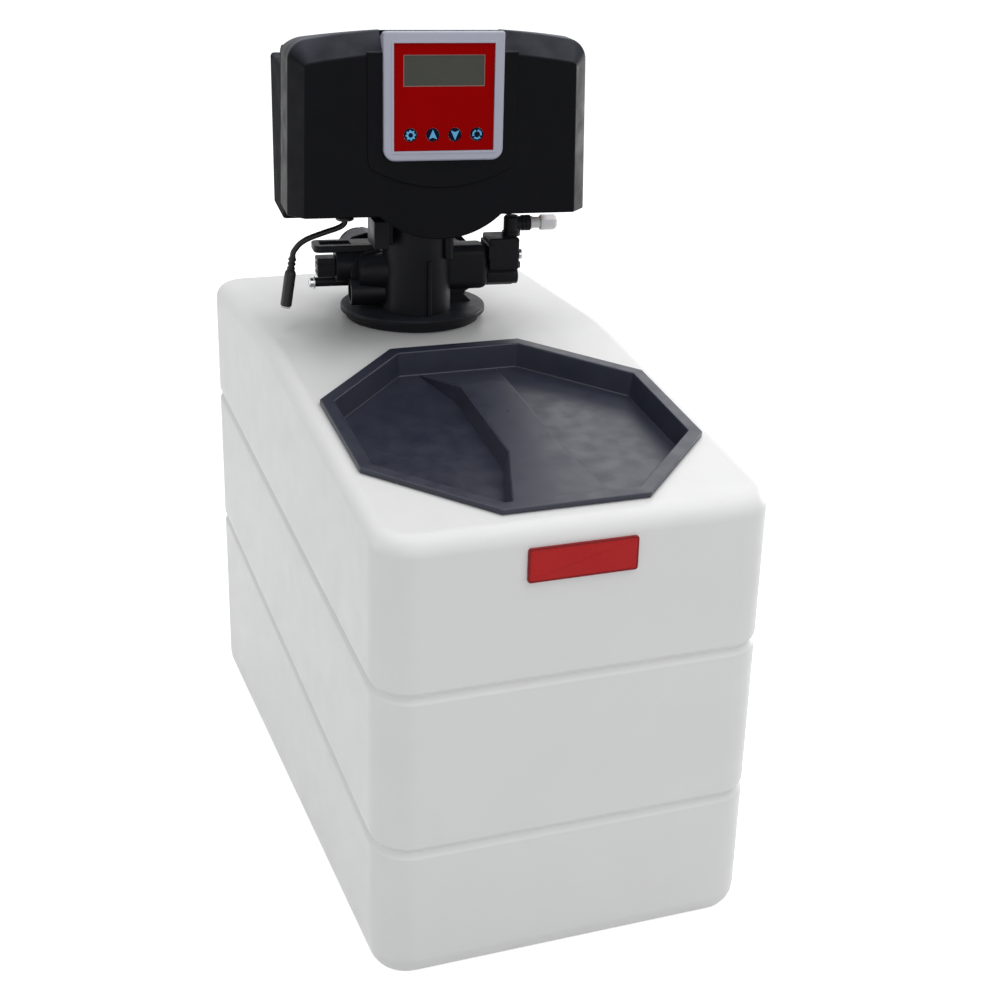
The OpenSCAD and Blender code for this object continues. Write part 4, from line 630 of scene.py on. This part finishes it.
def twin(piece, name):
    """A copy of a piece with its own mesh."""
    copy = piece.copy()
    copy.data = piece.data.copy()
    copy.name = copy.data.name = name
    bpy.context.scene.collection.objects.link(copy)
    return copy


def seat(piece, at, way="+Z"):
    """Sets a turned piece on the valve, with its axis along one way."""
    lay(piece, valve_place @ Matrix.Translation([c * mm for c in at]) @ axis_turn[way])


def join(piece, *others):
    """Makes one object of several loose pieces."""
    take(piece)
    for other in others:
        other.select_set(True)
    bpy.ops.object.join()


thread = [(34, 14.0), (37, 14.0), (37, 12.8)]
for crest in (44.0, 47.5, 51.0, 54.5):
    thread += [(crest, 12.8), (crest + 0.4, 13.2), (crest + 1.35, 13.2), (crest + 1.75, 12.8)]
inlet = turned("inlet_tail", thread + [(57.4, 12.8), (58, 12.2), (58, 9.9), (57.6, 9.5), (34.4, 9.5)])
outlet = twin(inlet, "outlet_tail")
for spigot, across, node in (
    (inlet, -port_across, "inlet_spigot"),
    (outlet, port_across, "outlet_spigot"),
):
    smooth(spigot, 30)
    seat(spigot, (across, 0, port_level), "+Y")
    hand_over(spigot, "cabinet", "black_plastic", valve_black, node)
union_nut = turned("union_nut", [(22, 16.9), (22.5, 17.3), (39.4, 17.3), (40, 16.7)], 12)
soften(union_nut, 0.7, 2, 25)
combine(union_nut, rod("nut_bore", 14.2, 20, 37, sides=96), "DIFFERENCE")
combine(union_nut, rod("nut_lip", 13.3, 36, 44, sides=96), "DIFFERENCE")
smooth(union_nut, 35)
second_nut = twin(union_nut, "second_union_nut")
seat(union_nut, (-port_across, 0, port_level), "+Y")
seat(second_nut, (port_across, 0, port_level), "+Y")
join(union_nut, second_nut)
hand_over(union_nut, "cabinet", "black_plastic", valve_black, "spigot_nuts")

# The injector. A black block, held on the right arm by two steel socket screws, with the red nozzle and
# throat inside it; a black elbow on top carries the milky white fitting and nut of the brine tube.
block = soft_box("injector_housing", (42, -20, 304.5), (60, 0, 323), 1.1)
combine(block, soft_box("block_foot", (43, -17, 304.5), (61.5, -3, 308.5), 0.6), "UNION")
combine(block, soft_box("block_rib", (41.2, -21.2, 311), (44.5, 1.2, 319.5), 0.6), "UNION")
smooth(block, 35)
lay(block, valve_place)
hand_over(block, "cabinet", "black_plastic", valve_black, "injector_block")
injector_red = moulded("injector_red", (0.42, 0.035, 0.018), 0.36, 0.35, 1500, 0.01, 0.07)
finish_nodes(injector_red, "injector_nozzle", "injector_throat")


def socket_screw(name, stations, key_radius, key_floor, top):
    """A steel screw head with a hexagon socket."""
    screw = turned(name, stations, 48)
    soften(screw, 0.25, 2, 35)
    combine(screw, rod("key", key_radius, key_floor, top + 1, sides=6), "DIFFERENCE")
    smooth(screw, 35)
    return screw


front_screw = socket_screw("injector_screw_pair", [(0, 2.9), (1.7, 2.9), (2.2, 2.5)], 1.45, 0.9, 2.2)
rear_screw = twin(front_screw, "rear_screw")
seat(front_screw, (60, -16.6, 313), "+X")
seat(rear_screw, (60, -3.4, 313), "+X")
join(front_screw, rear_screw)
hand_over(front_screw, "cabinet", "steel", bright_steel, "injector_screws")

elbow = turned("brine_elbow_piece", [(323, 5.4), (325.4, 5.4), (325.4, 4.6), (333.4, 4.6), (334.6, 3.6)])
mouthpiece = turned(
    "mouthpiece", [(0, 4.0), (6, 4.0), (6, 4.6), (7.4, 4.6), (7.8, 4.3), (8.2, 4.6), (11, 4.6)],
)
elbow_x, elbow_level = 57, 330
lay(elbow, Matrix.Translation((elbow_x * mm, arm_y * mm, 0)))
lay(mouthpiece, Matrix.Translation((elbow_x * mm, arm_y * mm, elbow_level * mm)) @ axis_turn["+X"])
combine(elbow, mouthpiece, "UNION")
combine(elbow, soft_box("elbow_rib", (52.6, -11, 325), (62.5, -9, 331), 0.4), "UNION")
smooth(elbow, 35)
lay(elbow, valve_place)
hand_over(elbow, "cabinet", "black_plastic", valve_black, "brine_elbow")
milk_white = moulded("milk_white", (0.80, 0.80, 0.81), 0.36, 0.4, 1500, 0.01, 0.03)
skin = milk_white.node_tree.nodes["Principled BSDF"]
skin.inputs["Subsurface Weight"].default_value = 0.35
skin.inputs["Subsurface Scale"].default_value = 1.5 * mm
fitting = turned("tube_tail", [(0, 3.8), (1.5, 3.8), (1.5, 3.3), (13, 3.3), (13, 2.4), (0.6, 2.4)], 48)
smooth(fitting, 35)
seat(fitting, (68, arm_y, elbow_level), "+X")
hand_over(fitting, "cabinet", "tube_white", milk_white, "tube_fitting")
tube_nut = turned("tube_hex", [(0, 4.3), (0.5, 4.73), (8.6, 4.73), (10, 3.9)], 6)
soften(tube_nut, 0.3, 2, 25)
combine(tube_nut, rod("tail_room", 3.4, -1, 7.1, sides=48), "DIFFERENCE")
combine(tube_nut, rod("tube_way", 2.6, 6, 12, sides=48), "DIFFERENCE")
lay(tube_nut, Matrix.Rotation(math.pi / 6, 4, "Z"))
smooth(tube_nut, 35)
seat(tube_nut, (74, arm_y, elbow_level), "+X")
hand_over(tube_nut, "cabinet", "tube_white", milk_white, "tube_nut")

# The drain. A long black hexagon nut on the lower bore of the right arm, with a short round nose. It
# is turned, bored through and made of the same plastic as the valve.
drain = turned("drain_hex", [(42, 5.1), (42.5, 5.48), (57.6, 5.48), (59, 4.9)], 6)
soften(drain, 0.4, 2, 25)
lay(drain, Matrix.Rotation(math.pi / 6, 4, "Z"))
combine(drain, turned("nose", [(58, 4.75), (60.6, 4.75), (61, 4.35)]), "UNION")
combine(drain, rod("drain_way", 2.5, 40, 64, sides=48), "DIFFERENCE")
smooth(drain, 35)
seat(drain, (0, arm_y, 298.6), "+X")
hand_over(drain, "cabinet", "black_plastic", valve_black, "drain_nut")

# The left port. A black plug closes it; a dished clip plate holds the plug down, and a bright steel
# socket screw with its washer closes the stud below.
plug = soft_box("plug_head", (-57, -4, 299.5), (-46, 8, 310.5), 1.0)
combine(plug, soft_rod("plug_neck", 5.9, -47, -36, "X", (2, 305), 48), "UNION")
for height in (302.6, 307.4):
    combine(plug, box("grip_line", (-60, -6, height - 0.5), (-48, -3.4, height + 0.5)), "DIFFERENCE")
    combine(plug, box("grip_line", (-60, -6, height - 0.5), (-56.4, 10, height + 0.5)), "DIFFERENCE")
smooth(plug, 35)
lay(plug, valve_place)
hand_over(plug, "cabinet", "black_plastic", valve_black, "port_plug")
clip = box("clip_plate", (-59, -7, 314.6), (-23, 11, 318.6))
pick(clip, "EDGE", lambda edge: runs_along(edge, 2) and edge.verts[0].co.x < -0.05)
bevel(4, 6)
soften(clip, 0.7, 3)
combine(clip, soft_box("dish", (-55, -3, 317.1), (-37, 7, 325), 0.9), "DIFFERENCE")
combine(clip, rod("boss_room", 14.2, -20, 30, "Y", (-port_across, port_level), 96), "DIFFERENCE")
smooth(clip, 35)
lay(clip, valve_place)
hand_over(clip, "cabinet", "black_plastic", valve_black, "port_clip")
clip_screw = socket_screw(
    "clip_screw_head", [(0, 4.0), (0.8, 4.0), (0.8, 3.1), (2.8, 3.1), (3.4, 2.6)], 1.5, 2.0, 3.4,
)
seat(clip_screw, (-57.5, 6, 294.5), "-X")
hand_over(clip_screw, "cabinet", "steel", bright_steel, "clip_screw")

# The back case of the head. A black moulded box on the piston housing that holds the drive, with a
# plate across its front in the outline of the cover.
crown_radius, shoulder_radius, cover_peak, cover_half, cover_low = 420, 11, 448, 79.5, 351.5
foot_flare, drop_radius, drop_level = 2, 48.4, 387


def head_outline(name, front, rear):
    """The front view of the head: arched top, round shoulders and a flat foot."""
    arch_middle = cover_peak - crown_radius
    form = box(name, (-cover_half, front, cover_low), (cover_half, rear, 470))
    combine(form, rod("crown", crown_radius, front - 5, rear + 5, "Y", (0, arch_middle), 720), "INTERSECT")
    round_x = cover_half - shoulder_radius
    round_z = arch_middle + math.sqrt((crown_radius - shoulder_radius) ** 2 - round_x ** 2)
    touch_x = round_x * crown_radius / (crown_radius - shoulder_radius)
    for side in (-1, 1):
        low_x, high_x = sorted((side * touch_x, side * 90))
        corner = box("corner", (low_x, front - 5, round_z), (high_x, rear + 5, 470))
        shoulder = rod("round", shoulder_radius, front - 9, rear + 9, "Y", (side * round_x, round_z), 96)
        combine(corner, shoulder, "DIFFERENCE")
        combine(form, corner, "DIFFERENCE")
    merge(form)
    for side in (-1, 1):
        pick(form, "VERT", lambda corner: corner.co.x * side > 0.07 and corner.co.z < (cover_low + 0.1) * mm)
        bpy.ops.transform.translate(value=(side * foot_flare * mm, 0, 0))
    return form


def trim(piece, at, normal):
    """Cuts off what lies on the far side of a plane and closes the cut."""
    pick(piece, "FACE")
    bpy.ops.mesh.bisect(plane_co=[c * mm for c in at], plane_no=normal, use_fill=True, clear_outer=True)
    bpy.ops.object.mode_set(mode="OBJECT")


case = head_outline("back_shell", -43, -40)
trim(case, (0, -40, 435.6), (0, 0, 1))
soften(case, 0.5, 2)
combine(case, soft_rod("case_drop", drop_radius, -43, -40, "Y", (0, drop_level), 128), "UNION")
for name, low, high, lift, how in (
    ("drive_box", (-78, -42, 338), (78, 26, 424), 0, "UNION"),
    ("drive_room", (-75.5, -40, 340.5), (75.5, 23.5, 421.5), 2.6, "DIFFERENCE"),
):
    room_form = box(name, low, high)
    trim(room_form, (0, -20, 338 + lift), (0, -6.4, -22))
    if how == "UNION":
        soften(room_form, 2.0, 3, 12)
    combine(case, room_form, how)
combine(case, box("drive_window", (-75.5, -50, 354), (75.5, -39, 421.5)), "DIFFERENCE")
combine(case, rod("housing_hole", 18.3, 330, 345, at=(0, housing_y)), "DIFFERENCE")
combine(case, rod("gland_hole", 3.7, 330, 345, at=(-43, -20), sides=32), "DIFFERENCE")
smooth(case, 32)
lay(case, valve_place)
case_black = moulded("case_black", (0.0050, 0.0052, 0.0072), 0.75, 0.03, 1700, 0.01, 0.10)
# Painted highlight: the faces of the back case that look up get a lighter grey sheen.
paint_top_sheen(case_black, top_sheen_grey, 0.4)
hand_over(case, "cabinet", "black_plastic", case_black, "back_case")

# The drive. A small steel-cased motor turns a pale gear through a brass pinion, on a black bracket; all of
# it sits in the case behind the cover.
finish_nodes(bright_steel, "drive_motor")
pinion_brass = metal("pinion_brass", (0.74, 0.52, 0.20), 0.26, 900)
finish_nodes(pinion_brass, "motor_pinion")
finish_nodes(pale_plastic, "drive_gear")
finish_nodes(case_black, "gear_bracket")

# The front cover of the head. A black moulded cap with a slanted band round its face, a low pad in the
# shape of a U below the display, and a recess in its top that the bezel drops into.
cover = head_outline("front_cap", -74, -43)
pick(cover, "FACE", lambda face: face.normal.y < -0.99)
bpy.ops.mesh.inset(thickness=8 * mm, depth=10 * mm)
merge(cover)
pick(cover, "VERT", lambda corner: corner.co.y < -83.9 * mm and corner.co.z > 0.40)
bpy.ops.transform.translate(value=(0, 0, -3 * mm))
pick(cover, "VERT", lambda corner: corner.co.y < -83.9 * mm and corner.co.z < 0.365)
bpy.ops.transform.resize(value=(1, 1, 0), center_override=(0, -0.084, cover_low * mm))
pick(cover, "EDGE", lambda edge: all(
    abs(c.co.z - cover_low * mm) < 1e-5 and abs(c.co.y + 0.074) < 1e-5 for c in edge.verts))
bpy.ops.mesh.dissolve_edges(use_verts=False)
bpy.ops.object.mode_set(mode="OBJECT")
trim(cover, (0, -74, 447.9), (0, 0.4, 1))
soften(cover, 0.9, 3, 18)
combine(cover, soft_rod("drop", drop_radius, -84, -43, "Y", (0, drop_level), 128, 0.9), "UNION")
pad = box("pad", (-40, -85, 366.5), (40, -78, 437))
pick(pad, "EDGE", lambda edge: runs_along(edge, 1) and edge.verts[0].co.z < 0.4)
bevel(18, 12)
combine(pad, rod("pad_foot", 75, -90, -70, "Y", (0, 441.5), 256), "INTERSECT")
merge(pad)
soften(pad, 0.85, 3)
combine(cover, pad, "UNION")
combine(cover, box("cover_room", (-76.8, -75, 354.2), (76.8, -40, 432)), "DIFFERENCE")
combine(cover, rod("drop_room", 45.8, -81, -40, "Y", (0, drop_level), 96), "DIFFERENCE")
seat_form = box("bezel_seat", (-32.1, -100, 381.3), (32.1, -69.8, 470))
pick(seat_form, "EDGE", lambda edge: runs_along(edge, 1) and edge.verts[0].co.z < 0.4)
bevel(6.2, 8)
combine(cover, seat_form, "DIFFERENCE")
smooth(cover, 30)
lay(cover, valve_place)
head_black = moulded("head_black", (0.0042, 0.0044, 0.0060), 0.46, 0.055, 1700, 0.03, 0.12)
# Painted highlight: the faces of the cover that look up, its top band most, get a lighter grey sheen.
paint_top_sheen(head_black, top_sheen_grey, 0.55)
hand_over(cover, "cabinet", "black_plastic", head_black, "front_cover")

# The cover screws. Two steel socket screws, through the plate of the case from behind, hold the cover.
# One is turned and copied.
left_screw = socket_screw("cover_screw_pair", [(0, 2.8), (1.5, 2.8), (2, 2.3)], 1.4, 0.8, 2)
right_screw = twin(left_screw, "right_screw")
seat(left_screw, (-60, -40, 428), "+Y")
seat(right_screw, (60, -40, 428), "+Y")
join(left_screw, right_screw)
hand_over(left_screw, "cabinet", "steel", bright_steel, "cover_screws")

# The bezel. A silver-grey painted box that drops into the recess of the cover and stands a little
# proud of it, with a raised lip round the place of the display panel.
bezel = box("bezel_box", (-31.9, -88, 381.5), (31.9, -70, 447.5))
pick(bezel, "EDGE", lambda edge: runs_along(edge, 1) and edge.verts[0].co.z < 0.4)
bevel(6, 8)
pick(bezel, "EDGE", lambda edge: runs_along(edge, 1) and edge.verts[0].co.z > 0.44)
bevel(1.5, 4)
trim(bezel, (0, -86, 447.5), (0, 0.4, 1))
pick(bezel, "EDGE", lambda edge: all(c.co.y < -87.9 * mm for c in edge.verts))
bevel(1.2, 4)
combine(bezel, box("panel_seat", (-26.6, -95, 386.7), (26.6, -86.3, 441.6)), "DIFFERENCE")
combine(bezel, box("bezel_room", (-29.4, -85.5, 384), (29.4, -60, 438)), "DIFFERENCE")
lip = box("lip", (-27.9, -88.3, 385.4), (27.9, -87, 442.9))
combine(lip, box("lip_hole", (-26.6, -95, 386.7), (26.6, -80, 441.6)), "DIFFERENCE")
soften(lip, 0.25, 2)
combine(bezel, lip, "UNION")
smooth(bezel, 35)
lay(bezel, valve_place)
bezel_silver = moulded("bezel_silver", (0.42, 0.43, 0.52), 0.38, 0.5, 2600, 0.01, 0.04)
hand_over(bezel, "cabinet", "bezel_silver", bezel_silver, "display_bezel")

# The display. A red overlay panel with a window and four round holes, stuck into the lip of the
# bezel; behind the window lies the grey screen in its thin pale frame.
panel = box("overlay_panel", (-26.5, -87.3, 386.8), (26.5, -86.3, 441.5))
soften(panel, 0.2, 2)
combine(panel, box("window", (-21.6, -90, 419.6), (21.6, -80, 435.8)), "DIFFERENCE")
key_places, key_level = (-17.7, -5.9, 5.9, 17.7), 395
for across in key_places:
    combine(panel, rod("key_hole", 3.6, -90, -80, "Y", (across, key_level), 48), "DIFFERENCE")
smooth(panel, 35)
lay(panel, valve_place)
panel_red = moulded("panel_red", (0.34, 0.0010, 0.0014), 0.55, 0.012, 2200, 0.004, 0.03)
hand_over(panel, "cabinet", "panel_red", panel_red, "display_panel")

screen = box("screen_glass", (-21.5, -87.0, 419.7), (21.5, -84, 435.7))
pick(screen, "FACE", lambda face: face.normal.y < -0.99)
bpy.ops.mesh.inset(thickness=0.4 * mm)
bpy.ops.mesh.inset(thickness=0.15 * mm, depth=-0.2 * mm)
bpy.ops.object.mode_set(mode="OBJECT")
screen_grey = moulded("screen_grey", (0.053, 0.055, 0.043), 0.24, 0.22, 3000, 0.001, 0.012)
hand_over(screen, "cabinet", "screen_grey", screen_grey, "display_screen")
screen.data.materials.append(moulded("screen_frame", (0.36, 0.19, 0.17), 0.5, 0.1, 2600, 0.004, 0.05))
screen.active_material_index = 1
pick(screen, "FACE", lambda face: face.normal.y < -0.9 and face.calc_center_median().y < -86.95 * mm)
bpy.ops.object.material_slot_assign()
bpy.ops.object.mode_set(mode="OBJECT")
smooth(screen, 35)
lay(screen, valve_place)

# The circuit board. A green lacquered board with tinned tracks and pads, behind the display. Its own
# shape is right, so only its surface is finished here.
lacquer = moulded("board_lacquer", (0.015, 0.095, 0.035), 0.30, 0.4, 1800, 0.01, 0.12)
tree, skin, place = surface(lacquer)
upright = shader(tree, "ShaderNodeMapping", Rotation=(math.pi / 2, 0, 0))
tracks = shader(tree, "ShaderNodeTexBrick", Scale=160, Mortar_Size=0.03)
tree.links.new(place, upright.inputs["Vector"])
tree.links.new(upright.outputs["Vector"], tracks.inputs["Vector"])
stand_out(tree, skin, tracks.outputs["Fac"], 0.7, 0.05)
finish_nodes(lacquer, "circuit_board")

# The keys. Four navy caps of moulded rubber in the holes of the panel, each with a light blue sign:
# a cog, an arrow up, an arrow down and three arrows in a ring. Each cap travels half a millimetre.
key_navy = moulded("key_navy", (0.0032, 0.0052, 0.022), 0.50, 0.04, 2600, 0.01, 0.10)
sign_blue = moulded("sign_blue", (0.15, 0.48, 0.78), 0.50, 0.06, 2600, 0.004, 0.05)


def key_cap(name, across):
    """A round cap with a rounded rim and a wider foot behind the bezel."""
    cap = soft_rod(name, 3.3, -87.6, -83.9, "Y", (across, key_level), 48, 0.35)
    combine(cap, rod("foot", 4.3, -85.2, -83.9, "Y", (across, key_level), 48), "UNION")
    smooth(cap, 35)
    lay(cap, valve_place)
    return cap


def seat_sign(sign, across, body):
    """Stands a flat sign up on its key cap, a hair proud of it."""
    pick(sign, "FACE")
    extrude(-0.12)
    face_out(sign)
    lay(sign, valve_place @ Matrix.Translation((across * mm, -87.66 * mm, key_level * mm))
        @ Matrix.Rotation(math.pi / 2, 4, "X"))
    hand_over(sign, body, "turbine_blue", sign_blue)


for name, across in zip(("settings_key", "up_key", "down_key", "cycle_key"), key_places):
    hand_over(key_cap(name + "_cap", across), name, "key_navy", key_navy, name)

cog = add("cog_sign", bpy.ops.mesh.primitive_circle_add, vertices=32, radius=1.25 * mm)
pick(cog, "VERT")
extrude(0)
bpy.ops.transform.resize(value=(1.72, 1.72, 1), center_override=(0, 0, 0))
pick(cog, "VERT", lambda corner: corner.co.length > 1.9 * mm
     and round(math.atan2(corner.co.y, corner.co.x) * 16 / math.pi) % 4 < 2)
bpy.ops.transform.resize(value=(1.3, 1.3, 1), center_override=(0, 0, 0))
seat_sign(cog, key_places[0], "settings_key")



def triangle(name, radius):
    """A flat triangle that points along Y."""
    return add(name, bpy.ops.mesh.primitive_circle_add, vertices=3, radius=radius * mm, fill_type="NGON")


for turn, across, body in ((0, key_places[1], "up_key"), (math.pi, key_places[2], "down_key")):
    arrow = triangle(body + "_sign", 2.75)
    pick(arrow, "EDGE", lambda edge: all(c.co.y < 0 for c in edge.verts))
    bpy.ops.mesh.subdivide(number_cuts=1)
    pick(arrow, "VERT", lambda corner: abs(corner.co.x) < 0.1 * mm and corner.co.y < 0)
    bpy.ops.transform.translate(value=(0, 0.75 * mm, 0))
    stretch = Matrix.Diagonal((0.94, 1.22, 1, 1))
    lay(arrow, Matrix.Rotation(turn, 4, "Z") @ Matrix.Translation((0, -0.55 * mm, 0)) @ stretch)
    seat_sign(arrow, across, body)

ring = add("cycle_sign", bpy.ops.mesh.primitive_circle_add, vertices=24, radius=1.6 * mm)
pick(ring, "VERT")
extrude(0)
bpy.ops.transform.resize(value=(1.6, 1.6, 1), center_override=(0, 0, 0))
pick(ring, "FACE", lambda face: int(
    math.atan2(face.calc_center_median().y, face.calc_center_median().x) * 12 / math.pi + 12) % 8 < 3)
bpy.ops.mesh.delete(type="FACE")
heads = []
for third in range(3):
    head = triangle("arrow_head", 1.12)
    flat = Matrix.Translation((-2.05 * mm, 0, 0)) @ Matrix.Diagonal((0.85, 0.75, 1, 1))
    lay(head, Matrix.Rotation(third * math.tau / 3 + 0.16, 4, "Z") @ flat)
    heads.append(head)
join(ring, *heads)
seat_sign(ring, key_places[3], "cycle_key")

# The lead. A short black lead, 3.2 mm thick, drops out of the gland under the head's left side and
# hangs in one easy curve to its jack. It is soft vinyl over two cores.
lead_route = [
    (-43, -20, 336.4), (-43, -20, 335.2), (-43.8, -20, 334), (-45.2, -20, 333),
    (-47, -20, 332.2), (-49.2, -20, 331.4), (-51.6, -20, 330.7), (-54.2, -20, 329.9),
    (-57, -20, 329), (-60, -20, 328), (-63, -20, 326.9), (-66, -20, 325.5),
    (-68.8, -20, 323.6), (-71, -20, 321.2), (-72.69, -20, 318.58), (-73, -20, 316.6),
]
lead_points = [valve_place @ (Vector(point) * mm) for point in lead_route]
lead_line = bpy.data.curves.new("lead", "CURVE")
lead_line.dimensions = "3D"
lead_line.bevel_depth = 1.6 * mm
lead_line.bevel_resolution = 6
lead_line.resolution_u = 4
lead_line.use_fill_caps = True
strand = lead_line.splines.new("BEZIER")
strand.bezier_points.add(len(lead_points) - 1)
for knot, point in zip(strand.bezier_points, lead_points):
    knot.co = point
    knot.handle_left_type = knot.handle_right_type = "AUTO"
lead = bpy.data.objects.new("lead", lead_line)
bpy.context.scene.collection.objects.link(lead)
vinyl = moulded("lead_vinyl", (0.010, 0.010, 0.011), 0.42, 0.3, 1500, 0.02, 0.12)
lead_line.materials.append(vinyl)
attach(lead, "cabinet")
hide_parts("power_lead")
gland = turned("gland", [(336.5, 4.4), (337.0, 5.2), (338, 5.2), (338, 3.6), (342.2, 3.6), (342.5, 3.3)], 48)
smooth(gland, 35)
seat(gland, (-43, -20, 0))
hand_over(gland, "cabinet", "seal_rubber", vinyl, "lead_gland")
relief = [(0.1, 1.8), (1, 1.8)]
for rib in (1, 3.6, 6.2):
    relief += [(rib, 2.0), (rib + 0.35, 2.3), (rib + 1.25, 2.3), (rib + 1.6, 2.0), (rib + 1.6, 1.8)]
    relief.append((min(rib + 2.6, 8), 1.8))
jack = turned(
    "jack_sleeve",
    relief + [(8, 2.3), (9.0, 2.95), (10.2, 3.25), (28.6, 3.25), (29, 2.9), (29, 2.8), (22, 2.8)],
    48,
)
jack_tip = turned("jack_end", [(22, 2.7), (29.9, 2.7), (30.2, 2.5), (30.2, 1.3), (23.5, 1.3)], 48)
hang = Matrix.Rotation(math.radians(189), 4, "Y")
jack_place = valve_place @ Matrix.Translation([c * mm for c in lead_route[-1]]) @ hang
tip_pale = moulded("tip_pale", (0.58, 0.58, 0.55), 0.42, 0.3, 1500, 0.01, 0.05)
for piece, slot, material, node in (
    (jack, "black_plastic", vinyl, "power_jack"),
    (jack_tip, "tip_pale", tip_pale, "jack_tip"),
):
    smooth(piece, 35)
    lay(piece, jack_place)
    hand_over(piece, "cabinet", slot, material, node)
